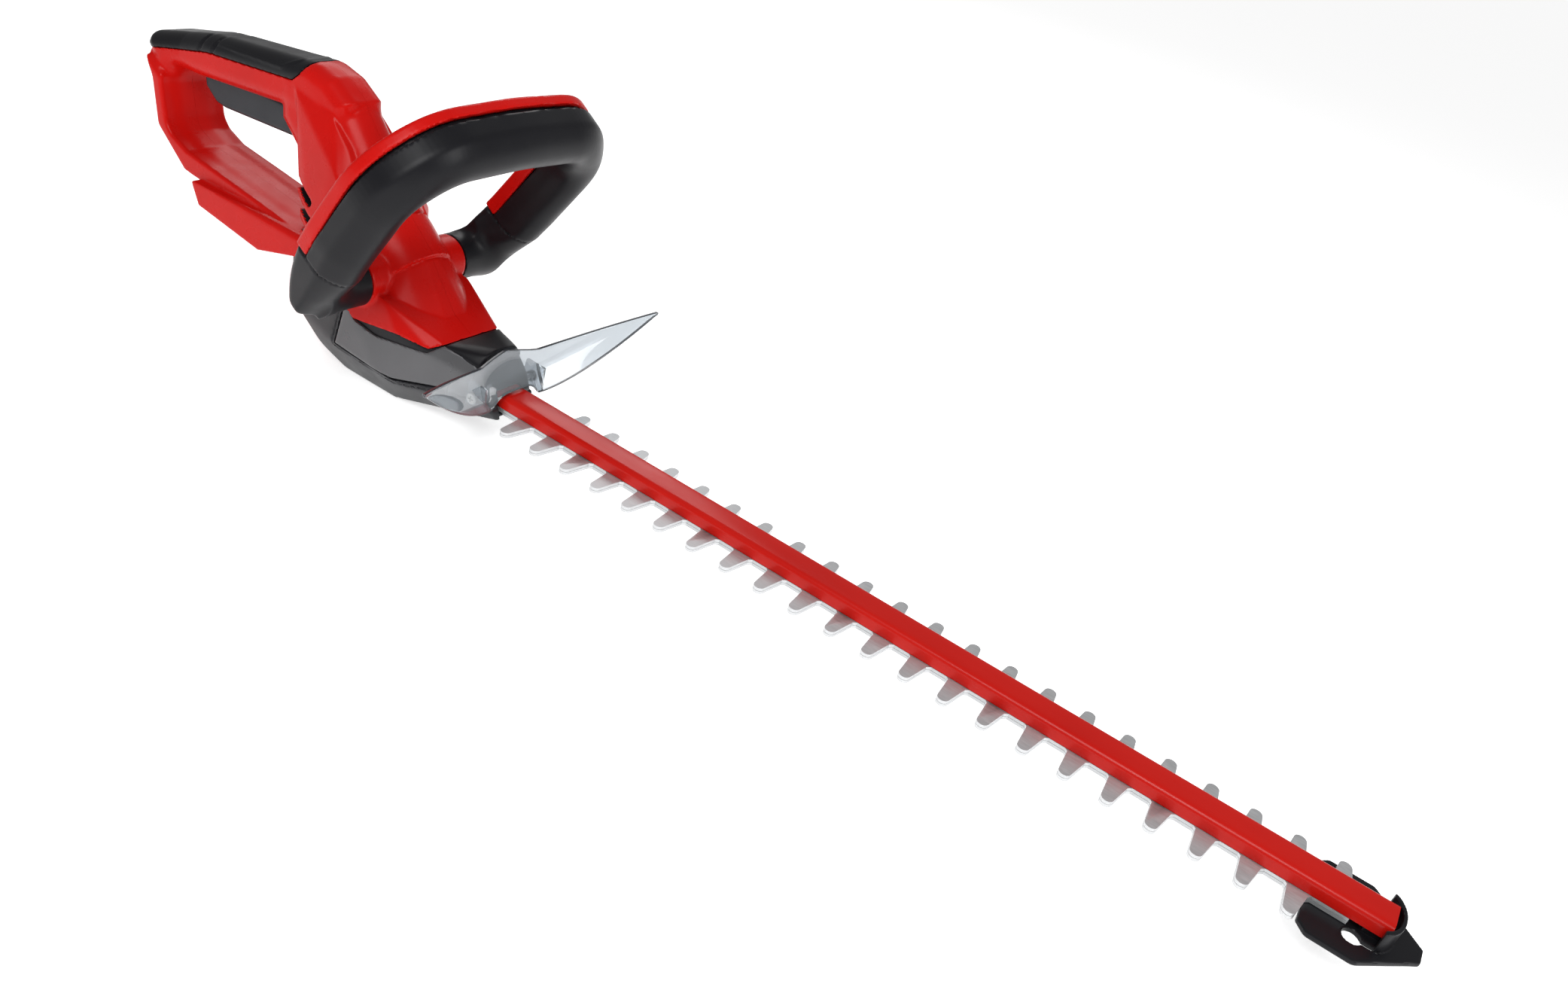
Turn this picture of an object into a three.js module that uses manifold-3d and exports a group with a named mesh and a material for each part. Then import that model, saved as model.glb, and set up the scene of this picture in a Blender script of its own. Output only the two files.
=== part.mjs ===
// Cordless hedge trimmer: rear D-handle, bail front handle, clear hand guard and a long two-sided cutter.
// Millimetres. +X runs towards the cutter tip, +Y to the operator's left, +Z up. The origin is the centre of
// the flat belly face that the tool rests on.
import * as THREE from "three";
import { mergeVertices } from "three/addons/utils/BufferGeometryUtils.js";
import { ConvexGeometry } from "three/addons/geometries/ConvexGeometry.js";
import Module from "manifold-3d";

// ---- Driving dimensions ----
const GAP = 0.3; // between pieces that touch

const TOOTH_COUNT = 22; // on each side of a blade
const TOOTH_PITCH = 25;
const TOOTH_REACH = 31.8; // tooth tip from the middle of the bar
const FIRST_TOOTH_X = 125;
const FAR_SIDE_LAG = 18.75; // the left-hand teeth sit three quarters of a pitch further on
const BLADE_THICK = 1.9;
const LOWER_BLADE_Z = 24;
const UPPER_BLADE_Z = LOWER_BLADE_Z + BLADE_THICK + 0.2;
const SPINE_HALF = 11;
const SPINE_END_X = 677;
const STROKE = 6.25; // of each blade, each way from the middle

const BAR_HALF = 10.5;
const BAR_Z = [UPPER_BLADE_Z + BLADE_THICK + GAP, 37.5];
const BAR_X = [96, 696];
const SHOULDER_R = 2.7; // shoulder screws that carry the blades
const SHOULDER_XS = [170, 270, 370, 470, 570, 645];

const TIP_PLATE_Z = [20.6, 23.6];

const GEAR_X = 27;
const MOTOR_X = 0;
const GEAR_TEETH = 48;
const PINION_TEETH = 12;
const GEAR_MODULE = (2 * (GEAR_X - MOTOR_X)) / (GEAR_TEETH + PINION_TEETH);
const GEAR_Z = [30, 38];
const CAM_R = 11;
const CAM_THROW = STROKE;
const CAM_SLACK = 1.9; // round each cam along its blade
const SHAFT_R = 5;
const MOTOR_R = 15.9;
const MOTOR_Z = [51, 86];
const FAN_R = 13.5;

const BAIL_ORIGIN = [1, 79]; // X and Z of the line through both side bosses
const BAIL_LEAN = THREE.MathUtils.degToRad(31.5);
const BAIL_HEIGHT = 136;
const BAIL_HALF = 83; // middle of the tube from the middle of the tool
const BAIL_CORNER = 30;
const SEAM_UP = 33; // height of the seam where the switch bar starts, along the leg
const BOSS_Y = 41;
const BOSS_R = 16.5;

const GRIP_HALF = 18.5;
const LOOP_HALF = 24.5;
const PAD_THICK = 4;
const TRIGGER_HALF = 9;
const TRIGGER_PIVOT = [-193, 146];

const WALL = 3;
const HOUSING_SCREWS = [
  [-230, 138],
  [-180, 78],
  [-118, 72],
  [-87, 148],
];

// ---- Solids ----
const wasm = await Module();
wasm.setup();
const group = new THREE.Group();

// A closed geometry as a solid that can be joined and cut.
function solid(geometry) {
  const bare = new THREE.BufferGeometry();
  bare.setAttribute("position", geometry.getAttribute("position"));
  if (geometry.index) bare.setIndex(geometry.index);
  const merged = mergeVertices(bare, 1e-4);
  return new wasm.Manifold(
    new wasm.Mesh({
      numProp: 3,
      vertProperties: merged.attributes.position.array,
      triVerts: new Uint32Array(merged.index.array),
    }),
  );
}

const join = (...solids) => solids.reduce((a, b) => a.add(b));
const cut = (base, ...tools) => tools.reduce((a, b) => a.subtract(b), base);

function box(x, y, z) {
  const geometry = new THREE.BoxGeometry(x[1] - x[0], y[1] - y[0], z[1] - z[0]);
  return solid(geometry.translate((x[0] + x[1]) / 2, (y[0] + y[1]) / 2, (z[0] + z[1]) / 2));
}

// The two boxes at +y and -y.
const sideBoxes = (x, y, z) => join(box(x, y, z), box(x, [-y[1], -y[0]], z));

// A cylinder or cone along "x", "y" or "z", starting at the point from.
function rod(axis, from, length, r, segments = 24, rEnd = r) {
  const geometry = new THREE.CylinderGeometry(rEnd, r, length, segments).translate(0, length / 2, 0);
  if (axis === "x") geometry.rotateZ(-Math.PI / 2);
  if (axis === "z") geometry.rotateX(Math.PI / 2);
  return solid(geometry.translate(...from));
}

const shapeOf = (points) => new THREE.Shape(points.map(([a, b]) => new THREE.Vector2(a, b)));

// A plan outline, in X and Y, raised over a span of Z.
function plan(points, z) {
  const depth = z[1] - z[0];
  const geometry = new THREE.ExtrudeGeometry(shapeOf(points), { depth, bevelEnabled: false });
  return solid(geometry.translate(0, 0, z[0]));
}

// A side outline, in X and Z, spread over a span of Y. The bevel takes its size off the outline's edges.
function side(points, y, bevel = 0) {
  const depth = y[1] - y[0] - 2 * bevel;
  const geometry = new THREE.ExtrudeGeometry(shapeOf(points), {
    depth,
    bevelEnabled: bevel > 0,
    bevelThickness: bevel,
    bevelSize: bevel,
    bevelOffset: -bevel,
    bevelSegments: 1,
  });
  return solid(geometry.rotateX(Math.PI / 2).translate(0, y[1] - bevel, 0));
}

// The hull of points and their mirror images in Y.
function facets(points) {
  const both = points.flatMap(([x, y, z]) => [new THREE.Vector3(x, y, z), new THREE.Vector3(x, -y, z)]);
  return solid(new ConvexGeometry(both));
}

// The same points drawn in by a wall's thickness on all sides.
function drawnIn(points, wall) {
  const all = points.flatMap(([x, y, z]) => [new THREE.Vector3(x, y, z), new THREE.Vector3(x, -y, z)]);
  const bounds = new THREE.Box3().setFromPoints(all);
  const centre = bounds.getCenter(new THREE.Vector3()).toArray();
  const half = bounds.getSize(new THREE.Vector3()).multiplyScalar(0.5).toArray();
  return points.map((p) => p.map((v, i) => centre[i] + (v - centre[i]) * (1 - wall / half[i])));
}

// Rings of the same number of points, joined in order and closed at both ends. A section that isn't convex
// gives its outline, so that the ends can be filled.
function loft(rings, section) {
  const count = rings[0].length;
  const index = [];
  for (let r = 0; r + 1 < rings.length; r++) {
    for (let i = 0; i < count; i++) {
      const [a, b] = [r * count + i, r * count + ((i + 1) % count)];
      index.push(a, b, b + count, a, b + count, a + count);
    }
  }
  const last = (rings.length - 1) * count;
  const fan = Array.from({ length: count - 2 }, (_, i) => [0, i + 1, i + 2]);
  const fill = section ? THREE.ShapeUtils.triangulateShape(shapeOf(section).getPoints(), []) : fan;
  const turned = section && THREE.ShapeUtils.isClockWise(shapeOf(section).getPoints());
  for (const [a, b, c] of fill) {
    const [first, second] = turned ? [b, c] : [c, b];
    index.push(a, first, second, last + a, last + second, last + first);
  }
  const geometry = new THREE.BufferGeometry();
  geometry.setAttribute("position", new THREE.Float32BufferAttribute(rings.flat(2), 3));
  geometry.setIndex(index);
  const made = solid(geometry);
  if (made.volume() > 0) return made;
  geometry.setIndex(index.reverse());
  return solid(geometry);
}

// The points of an arc about a centre, in the plane of an outline.
function arc([cx, cy], r, from, to, steps) {
  return Array.from({ length: steps + 1 }, (_, i) => {
    const angle = THREE.MathUtils.degToRad(from + ((to - from) * i) / steps);
    return [cx + r * Math.cos(angle), cy + r * Math.sin(angle)];
  });
}

// ---- Materials ----
const finish = (color, roughness, metalness = 0, opacity = 1) => () =>
  new THREE.MeshStandardMaterial({ color, roughness, metalness, opacity, transparent: opacity < 1 });
const RED = finish(0xc4170f, 0.45);
const RED_PAINT = finish(0xcc1f12, 0.3);
const SOFT_BLACK = finish(0x262628, 0.7);
const DARK_GREY = finish(0x3b3b3f, 0.6);
const GREY = finish(0x77777a, 0.5);
const STEEL = finish(0xc4c6c9, 0.3, 1);
const ZINC = finish(0xa9abae, 0.4, 1);
const ALUMINIUM = finish(0xb4b6b8, 0.45, 1);
const BRASS = finish(0xb98f3d, 0.35, 1);
const COPPER = finish(0xb5673a, 0.35, 1);
const CLEAR = finish(0xdfe8ee, 0.05, 0, 0.3);
const BOARD_GREEN = finish(0x1f5a34, 0.5);
const FELT = finish(0x8d8a80, 0.95);
const NYLON = finish(0xd9d6cc, 0.5);

function add(name, shape, material) {
  const { vertProperties, triVerts } = shape.getMesh();
  const geometry = new THREE.BufferGeometry();
  geometry.setAttribute("position", new THREE.BufferAttribute(vertProperties, 3));
  geometry.setIndex(new THREE.BufferAttribute(triVerts, 1));
  geometry.computeVertexNormals();
  const mesh = new THREE.Mesh(geometry, material());
  mesh.name = name;
  group.add(mesh);
}

// ---- Cutting blades ----
// One side's teeth, from the rear: a tapered tooth with a small flat tip, then the edge of the spine.
function toothEdge(startX, sign) {
  const root = SPINE_HALF - 0.5;
  const tooth = [
    [-5.7, root],
    [-3.2, TOOTH_REACH - 2],
    [-1.8, TOOTH_REACH],
    [1, TOOTH_REACH],
    [2.2, TOOTH_REACH - 2],
    [8.1, root],
  ];
  return Array.from({ length: TOOTH_COUNT }, (_, i) =>
    tooth.map(([x, y]) => [startX + i * TOOTH_PITCH + x, sign * y]),
  ).flat();
}

const slot = (x, r, halfTravel) => [
  ...arc([x + halfTravel, 0], r, -90, 90, 5),
  ...arc([x - halfTravel, 0], r, 90, 270, 5),
];

function blade(z, camSide) {
  const root = SPINE_HALF - 0.5;
  const span = [z, z + BLADE_THICK];
  const through = [z - 1, z + BLADE_THICK + 1];
  const outline = [
    [GEAR_X + 16, -9],
    [104, -9],
    [106, -root],
    ...toothEdge(FIRST_TOOTH_X, -1),
    [SPINE_END_X, -root],
    [SPINE_END_X, root],
    ...toothEdge(FIRST_TOOTH_X + FAR_SIDE_LAG, 1).reverse(),
    [106, root],
    [104, 9],
    [GEAR_X + 16, 9],
  ];
  const inner = CAM_R + CAM_SLACK;
  const near = camSide * (CAM_R + CAM_THROW + 1);
  const far = -camSide * (CAM_R + 1);
  const windowY = [Math.min(near, far), Math.max(near, far)];
  const eyeY = [windowY[0] - 5, windowY[1] + 5];
  const eye = box([GEAR_X - inner - 5, GEAR_X + inner + 8], eyeY, span);
  const window = box([GEAR_X - inner, GEAR_X + inner], windowY, through);
  const slots = SHOULDER_XS.map((x) => plan(slot(x, SHOULDER_R + GAP, STROKE + 2 * GAP), through));
  return cut(join(plan(outline, span), eye), window, ...slots);
}

add("upper_blade", blade(UPPER_BLADE_Z, 1), STEEL);
add("lower_blade", blade(LOWER_BLADE_Z, -1), STEEL);

// ---- Blade bar, its screws and the tip guard ----
function barRing(x, grow = 0) {
  const half = BAR_HALF + grow;
  const [low, high] = [BAR_Z[0] - grow, BAR_Z[1] + grow];
  const section = [
    [-half, low],
    [half, low],
    [half, high - 4],
    [half - 1.4, high - 1.3],
    [half - 4, high],
    [-half + 4, high],
    [-half + 1.4, high - 1.3],
    [-half, high - 4],
  ];
  return section.map(([y, z]) => [x, y, z]);
}
const SCREW_R = 2; // threaded shank of every small screw
const threadHole = (x, z) => rod("z", [x, 0, z], 7, SCREW_R + GAP, 12);
const TIP_SCREW_X = 687;
const barHoles = [...SHOULDER_XS, TIP_SCREW_X].map((x) => threadHole(x, BAR_Z[0] - 1));
add("blade_bar", cut(loft([barRing(BAR_X[0]), barRing(BAR_X[1])]), ...barHoles), RED_PAINT);

// The head and its washer face lie under the lower blade, the shoulder passes both blades.
function shoulderScrew(x) {
  const headZ = LOWER_BLADE_Z - GAP;
  const head = rod("z", [x, 0, headZ - 2.4], 2.4, 5.4, 14);
  const socket = rod("z", [x, 0, headZ - 3], 1.8, 1.9, 6);
  const shoulder = rod("z", [x, 0, headZ - 0.1], BAR_Z[0] - GAP - headZ + 0.2, SHOULDER_R, 10);
  const shank = rod("z", [x, 0, BAR_Z[0] - GAP], 5.5, SCREW_R, 8);
  return cut(join(head, shoulder, shank), socket);
}
SHOULDER_XS.forEach((x, i) => add(`blade_screw_${i + 1}`, shoulderScrew(x), ZINC));

const halfTip = [
  [655, 26],
  [661, 32.5],
  [686, 32.5],
  [711, 9],
  [715, 5.5],
];
// A hole to hang the tool by, with a slot that runs forward from it.
const KEYHOLE = { x: 681.5, y: 15.5, r: 5.2, slotHalf: 1.6, slotEndX: 695 };
const keyhole = (sign) => {
  const y = sign * KEYHOLE.y;
  const round = rod("z", [KEYHOLE.x, y, TIP_PLATE_Z[0] - 1.6], 6, KEYHOLE.r, 20);
  const run = box([KEYHOLE.x, KEYHOLE.slotEndX], [y - KEYHOLE.slotHalf, y + KEYHOLE.slotHalf], [19, 25]);
  return join(round, run);
};
const tipPlate = plan([...halfTip, ...halfTip.map(([x, y]) => [x, -y]).reverse()], TIP_PLATE_Z);
const tipSpacer = box([684.2, 696], [-8, 8], [TIP_PLATE_Z[1] - 0.1, BAR_Z[0] - GAP]);
// The lip curls round the end of the bar.
const lipOutline = [...arc([690, 0], 17.5, -62, 62, 8), ...arc([690, 0], 13.8, 62, -62, 8)];
const lipZ = [TIP_PLATE_Z[1] - 0.1, 37];
const lip = cut(plan(lipOutline, lipZ), box([680, 696.4], [-11, 11], [BAR_Z[0] - GAP, 50]));
const tipScrewHole = rod("z", [TIP_SCREW_X, 0, 19], 12, SCREW_R + GAP, 12);
add("tip_guard", cut(join(tipPlate, tipSpacer, lip), keyhole(1), keyhole(-1), tipScrewHole), SOFT_BLACK);
const tipHeadZ = TIP_PLATE_Z[0] - GAP;
const tipScrewHead = rod("z", [TIP_SCREW_X, 0, tipHeadZ - 2], 2, 4, 16);
const tipScrewShank = rod("z", [TIP_SCREW_X, 0, tipHeadZ - 0.1], 12, SCREW_R, 12);
add("tip_guard_screw", join(tipScrewHead, tipScrewShank), ZINC);

// ---- Gear drive ----
// A spur gear's outline: straight-sided teeth on the pitch circle.
function gearOutline(teeth, module, backlash, phase) {
  const pitchR = (teeth * module) / 2;
  const [rootR, tipR] = [pitchR - 1.2 * module, pitchR + module];
  const [rootHalf, tipHalf] = [0.34 - backlash, 0.13 - backlash / 2]; // as shares of the pitch
  const step = (2 * Math.PI) / teeth;
  return Array.from({ length: teeth }, (_, i) => {
    const middle = phase + i * step;
    const at = (r, share) => [r * Math.cos(middle + share * step), r * Math.sin(middle + share * step)];
    return [at(rootR, -rootHalf), at(tipR, -tipHalf), at(tipR, tipHalf), at(rootR, rootHalf)];
  }).flat();
}
const placed = (outline, x) => outline.map(([a, b]) => [a + x, b]);

// The gear, its two opposed cams and its shaft are one forging.
const BACKLASH = 0.04; // as a share of the pitch
const gearPhase = Math.PI + Math.PI / GEAR_TEETH; // a gap faces the pinion
const gearDisc = plan(placed(gearOutline(GEAR_TEETH, GEAR_MODULE, BACKLASH, gearPhase), GEAR_X), GEAR_Z);
const upperCam = rod("z", [GEAR_X, CAM_THROW, UPPER_BLADE_Z], BLADE_THICK + 0.2, CAM_R, 32);
const lowerCam = rod("z", [GEAR_X, -CAM_THROW, LOWER_BLADE_Z], BLADE_THICK, CAM_R, 32);
const hubZ = UPPER_BLADE_Z + BLADE_THICK;
const camHub = rod("z", [GEAR_X, 0, hubZ], GEAR_Z[0] - hubZ + 0.1, 9, 24);
const gearShaft = rod("z", [GEAR_X, 0, 11], 40, SHAFT_R, 24);
add("drive_gear", join(gearDisc, upperCam, lowerCam, camHub, gearShaft), STEEL);

const PINION_Z = [GEAR_Z[0] - 1, GEAR_Z[1] + 2];
const PINION_BORE = 2;
const pinionDisc = plan(placed(gearOutline(PINION_TEETH, GEAR_MODULE, BACKLASH, 0), MOTOR_X), PINION_Z);
add("motor_pinion", cut(pinionDisc, rod("z", [MOTOR_X, 0, 20], 30, PINION_BORE, 14)), BRASS);

// A ring bearing or bush, drawn as one body.
const bush = (x, z, inner, outer, segments = 24) => {
  const length = z[1] - z[0];
  const bore = rod("z", [x, 0, z[0] - 1], length + 2, inner, segments);
  return cut(rod("z", [x, 0, z[0]], length, outer, segments), bore);
};
const RUNNING = 0.08; // clearance of a shaft in its bearing
const GEAR_PLATE_Z = [44, 49];
const COVER_PLATE_Z = [13, 17];
const BEARING_R = 9;
const upperBearingZ = [GEAR_PLATE_Z[0] - 1, GEAR_PLATE_Z[1] - 0.5];
const lowerBearingZ = [COVER_PLATE_Z[0] + 0.5, COVER_PLATE_Z[1] + 1.5];
add("gear_bearing_upper", bush(GEAR_X, upperBearingZ, SHAFT_R + RUNNING, BEARING_R), STEEL);
add("gear_bearing_lower", bush(GEAR_X, lowerBearingZ, SHAFT_R + RUNNING, BEARING_R), STEEL);

const plateOutline = [
  [-24, -26],
  [60, -26],
  [78, -16],
  [78, 16],
  [60, 26],
  [-24, 26],
];
const motorNose = rod("z", [MOTOR_X, 0, GEAR_PLATE_Z[0] - 1], 20, 8.3, 24);
const upperSeat = rod("z", [GEAR_X, 0, GEAR_PLATE_Z[0] - 2], 20, BEARING_R + GAP, 24);
add("gear_plate", cut(plan(plateOutline, GEAR_PLATE_Z), motorNose, upperSeat), ALUMINIUM);
const lowerSeat = rod("z", [GEAR_X, 0, COVER_PLATE_Z[0] - 2], 20, BEARING_R + GAP, 24);
const coverOutline = [
  [2, -20],
  [46, -20],
  [60, -12],
  [60, 12],
  [46, 20],
  [2, 20],
];
add("gear_cover", cut(plan(coverOutline, COVER_PLATE_Z), lowerSeat), ALUMINIUM);

// Grease seal round the blades where they leave the gear case.
const SEAL_X = [88, 92];
const SEAL_HALF = 13;
const SEAL_Z = [LOWER_BLADE_Z - 3, UPPER_BLADE_Z + 4.8];
const sealWindow = box([80, 100], [-9.6, 9.6], [LOWER_BLADE_Z - GAP, UPPER_BLADE_Z + BLADE_THICK + 0.2]);
add("felt_seal", cut(box(SEAL_X, [-SEAL_HALF, SEAL_HALF], SEAL_Z), sealWindow), FELT);

// ---- Motor ----
const [motorLow, motorHigh] = MOTOR_Z;
const CAN_WALL = 1.6;
const canTube = rod("z", [MOTOR_X, 0, motorLow], motorHigh - motorLow, MOTOR_R, 36);
const canNose = rod("z", [MOTOR_X, 0, GEAR_PLATE_Z[0]], motorLow - GEAR_PLATE_Z[0] + 0.1, 8, 24);
const canRoom = rod("z", [MOTOR_X, 0, motorLow + 3], 60, MOTOR_R - CAN_WALL, 36);
add("motor_can", cut(join(canTube, canNose), canRoom, rod("z", [MOTOR_X, 0, 40], 20, 3.4, 16)), STEEL);
const bellZ = motorHigh + GAP;
const bellHole = rod("z", [MOTOR_X, 0, bellZ - 2], 14, 2.4, 16);
add("motor_end_bell", cut(rod("z", [MOTOR_X, 0, bellZ], 4, MOTOR_R - 1, 32), bellHole), SOFT_BLACK);
const armature = rod("z", [MOTOR_X, 0, motorLow + 6], 22, 11, 12);
const commutator = rod("z", [MOTOR_X, 0, motorLow + 27.9], 6, 6, 16);
const rotorShaft = rod("z", [MOTOR_X, 0, PINION_Z[0] - 1], bellZ + 13 - PINION_Z[0], PINION_BORE - 0.15, 14);
add("rotor", join(armature, commutator, rotorShaft), COPPER);
const fanZ = bellZ + 5;
const fanBore = rod("z", [MOTOR_X, 0, fanZ - 1], 9, PINION_BORE, 14);
const fanHub = cut(rod("z", [MOTOR_X, 0, fanZ], 6, 4.5, 16), fanBore);
const FAN_BLADES = 9;
const fanBlades = Array.from({ length: FAN_BLADES }, (_, i) => {
  const geometry = new THREE.BoxGeometry(9.5, 1.2, 5).translate(8.75, 0, 2.5);
  return solid(geometry.rotateZ((i * 2 * Math.PI) / FAN_BLADES).translate(MOTOR_X, 0, fanZ));
});
add("cooling_fan", join(fanHub, ...fanBlades), NYLON);

// ---- Lower housing: grey shell above, dark tray below ----
const HALF_SPAN = [-60, 60]; // wider than the tool, for side outlines that only cut
const trayPoints = [
  [-66, 33, 62],
  [-66, 34, 32],
  [-40, 33, 13],
  [-22, 26, 0],
  [26, 24, 0],
  [64, 20, 14.5],
  [106, 15, 20.5],
  [102, 22, 31],
  [66, 31, 30],
  [34, 40, 22.5],
  [-19, 41.5, 25],
  [-12, 41, 54],
];
const shellPoints = [
  [-19, 41.5, 25],
  [29.5, 40.5, 22.5],
  [14.4, 38.5, 46],
  [66, 31, 31],
  [102, 19, 31],
  [96, 19.5, 42],
  [83, 20, 54.5],
  [62.6, 26, 57.5],
  [54, 32.5, 50.5],
  [-8, 41, 55],
  [-14, 41, 55],
];
// The line where shell and tray part, seen from the side, from the red housing to the nose.
const parting = [
  [-14, 70],
  [-14, 54],
  [-19, 25],
  [34, 22.5],
  [66, 30],
  [130, 31],
];
// The housing's lower edge, seen from the side, from the battery stop to the collar.
const redEdge = [
  [-90, 55],
  [-13, 55],
  [-4.6, 50],
  [33.3, 55.8],
  [55, 53.3],
  [62, 57.8],
  [130, 57.8],
];
const belowParting = side([...parting, [130, -5], [-90, -5], [-90, 70]], HALF_SPAN);
const raised = (line, dx) => line.map(([x, z]) => [x + dx, z + GAP]);
const aboveParting = side([...raised(parting, GAP), [130, 90], [-14 + GAP, 90]], HALF_SPAN);
const belowRed = side([...redEdge, [130, -5], [-90, -5]], HALF_SPAN);
const aboveRed = side([...raised(redEdge, 0), [130, 250], [-260, 250], [-260, 55 + GAP]], HALF_SPAN);
const bladeSlotZ = [LOWER_BLADE_Z - 4.5, UPPER_BLADE_Z + 3.4];
const bladeSlot = box([50, 140], [-SPINE_HALF - 1, SPINE_HALF + 1], bladeSlotZ);
const barSeat = loft([barRing(BAR_X[0] - GAP, GAP), barRing(140, GAP)]);
const grown = ([low, high]) => [low - GAP, high + GAP];
const sealSeat = box(grown(SEAL_X), grown([-SEAL_HALF, SEAL_HALF]), grown(SEAL_Z));

const motorRoom = join(
  rod("z", [MOTOR_X, 0, GEAR_PLATE_Z[0] - 2], bellZ + 6.2 - GEAR_PLATE_Z[0], MOTOR_R + 0.8, 32),
  rod("z", [MOTOR_X, 0, bellZ], 13.5, FAN_R + 0.7, 32),
);
const trayHollow = facets(drawnIn(trayPoints, WALL)).intersect(box([-70, 86], HALF_SPAN, [2.5, 90]));
const noseCuts = [motorRoom, bladeSlot, barSeat, sealSeat];
const trayBody = facets(trayPoints).intersect(belowParting).intersect(belowRed);
add("bottom_tray", cut(trayBody, trayHollow, ...noseCuts), DARK_GREY);
const shellHollow = facets(drawnIn(shellPoints, WALL)).intersect(box([-70, 84], HALF_SPAN, [0, 90]));
const GUARD_SCREW = [93, 36]; // X and Z
const guardScrewHole = rod("y", [GUARD_SCREW[0], -40, GUARD_SCREW[1]], 80, SCREW_R + GAP, 12);
const gearRoom = box([-70, 56], [-31, 31], [20, 90]);
const shellBody = facets(shellPoints).intersect(aboveParting).intersect(belowRed);
add("base_shell", cut(shellBody, shellHollow, gearRoom, ...noseCuts, guardScrewHole), GREY);

const collarPoints = [
  [61, 26, 53],
  [62, 25.5, 57.8],
  [63, 5, 59],
  [89, 5, 62.5],
  [89, 14, 60],
  [84, 20.3, 55],
  [88, 19.5, 52],
];
const shifted = (points, dx, dy, dz) => points.map(([x, y, z]) => [x + dx, y + dy, z + dz]);
const collarHollow = facets(drawnIn(collarPoints, WALL)).intersect(box([60, 86], HALF_SPAN, [0, 90]));
const collar = cut(facets(collarPoints).intersect(aboveRed), collarHollow);

// ---- Red housing: D-handle, motor column and skirt, parted down the middle ----
const loopOutline = [
  [-226, 96],
  [-233, 128],
  [-246, 148],
  [-243, 156],
  [-188, 172],
  [-116, 183],
  [-88, 187.5],
  [-70, 184],
  [-52, 174],
  [-40, 70],
  [-66, 62],
  [-76, 62],
  [-109, 51],
  [-171, 58.5],
  [-190, 68.5],
];
const handHole = [
  [-217, 100],
  [-224, 129],
  [-218, 138],
  [-200, 139],
  [-105, 151],
  [-97, 149],
  [-80, 121],
  [-70, 92],
  [-74, 76],
  [-152, 84],
  [-195, 88],
  [-211, 94],
];
const gripSides = cut(
  side([[-260, 132], [-225, 137], [-102, 153], [-100, 200], [-260, 200]], HALF_SPAN),
  box([-270, -90], [-GRIP_HALF, GRIP_HALF], [100, 210]),
);
const rails = side([[-171, 58.5], [-109, 51], [-74, 62], [-66, 62], [-66, 76], [-178, 88]], [-32, 32], 4);
const loopBand = side(loopOutline, [-LOOP_HALF, LOOP_HALF], 5);
const loop = cut(join(loopBand, rails), side(handHole, HALF_SPAN), gripSides);

const columnPoints = [
  [-98, 18, 172],
  [-86, 7, 186.5],
  [-67, 7, 182],
  [-50, 7, 169],
  [-26, 7, 145],
  [-5, 7, 115.5],
  [-95, 20, 167],
  [-78, 20, 157.5],
  [-61, 19.5, 164],
  [-42.5, 21, 148.5],
  [-78, 26, 110],
  [-42.5, 31, 134],
  [-66, 31, 62],
  [-50, 37, 62],
  [-20, 37, 62],
  [-20, 33, 110],
  [-9, 22, 108],
];
// The round ridge over the motor, between its two rings.
const barrelPoints = [
  [-30, 7, 130],
  [-5, 7, 116],
  [20, 7, 97],
  [-9, 22, 108.5],
  [15, 20.5, 90],
  [-22, 31, 91],
  [4, 29, 74],
  [-22, 31, 62],
  [6, 28, 62],
  [24, 12, 72],
];
const bulgePoints = [
  [-10, 30, 90],
  [9, 28, 84],
  [15, 19, 90],
  [19.5, 5, 95.5],
  [37, 19, 68],
  [42, 5, 68.5],
  [24, 31, 69],
  [-10, 34, 66],
  [20, 30, 60],
  [50, 10, 60],
];
const skirtPoints = [
  [-20, 38, 74],
  [-13, 41, 56],
  [-4.6, 41, 50.3],
  [33.3, 39.3, 56],
  [18, 37.5, 73.5],
  [55, 32.3, 53.5],
  [62, 24, 58],
  [62, 5, 58.5],
  [37, 19, 68],
  [36, 5, 70],
];
const skirtClearance = facets(shifted(skirtPoints, 3 * GAP, GAP, GAP));
add("blade_collar", cut(collar, skirtClearance, facets(skirtPoints)), SOFT_BLACK);
const boss = (sign) => {
  const from = [BAIL_ORIGIN[0], sign > 0 ? 20 : -BOSS_Y, BAIL_ORIGIN[1]];
  return rod("y", from, BOSS_Y - 20, BOSS_R, 24);
};
const column = join(facets(columnPoints), facets(barrelPoints));
const skirt = join(facets(skirtPoints), facets(bulgePoints));
const body = join(loop, column, skirt, boss(1), boss(-1)).intersect(aboveRed);

const gripHollow = side(
  [
    [-212, 143],
    [-196, 164],
    [-112, 176],
    [-90, 176],
    [-90, 156],
    [-104, 153],
  ],
  [-14, 14],
);
const batterySlot = side([[-200, 45], [-60, 45], [-70, 66], [-200, 76]], [-25, 25]);
const columnFront = box([-78, 120], HALF_SPAN, [40, 200]);
const hollow = join(
  facets(drawnIn(columnPoints, WALL)).intersect(columnFront),
  facets(drawnIn(barrelPoints, WALL)),
  facets(drawnIn(skirtPoints, WALL)).intersect(box([-90, 58], HALF_SPAN, [40, 200])),
  box([-40, 50], [-32, 32], [40, 62]),
  gripHollow,
  motorRoom,
);
// The soft pad covers the grip above this line.
const padLine = [
  [-260, 134],
  [-246, 141],
  [-177, 161],
  [-108, 170],
  [-96, 178],
];
const padZone = (grow) => {
  const edge = padLine.map(([x, z]) => [x, z - grow]);
  return side([...edge, [-88 + grow, 200], [-260, 200]], HALF_SPAN);
};
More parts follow.
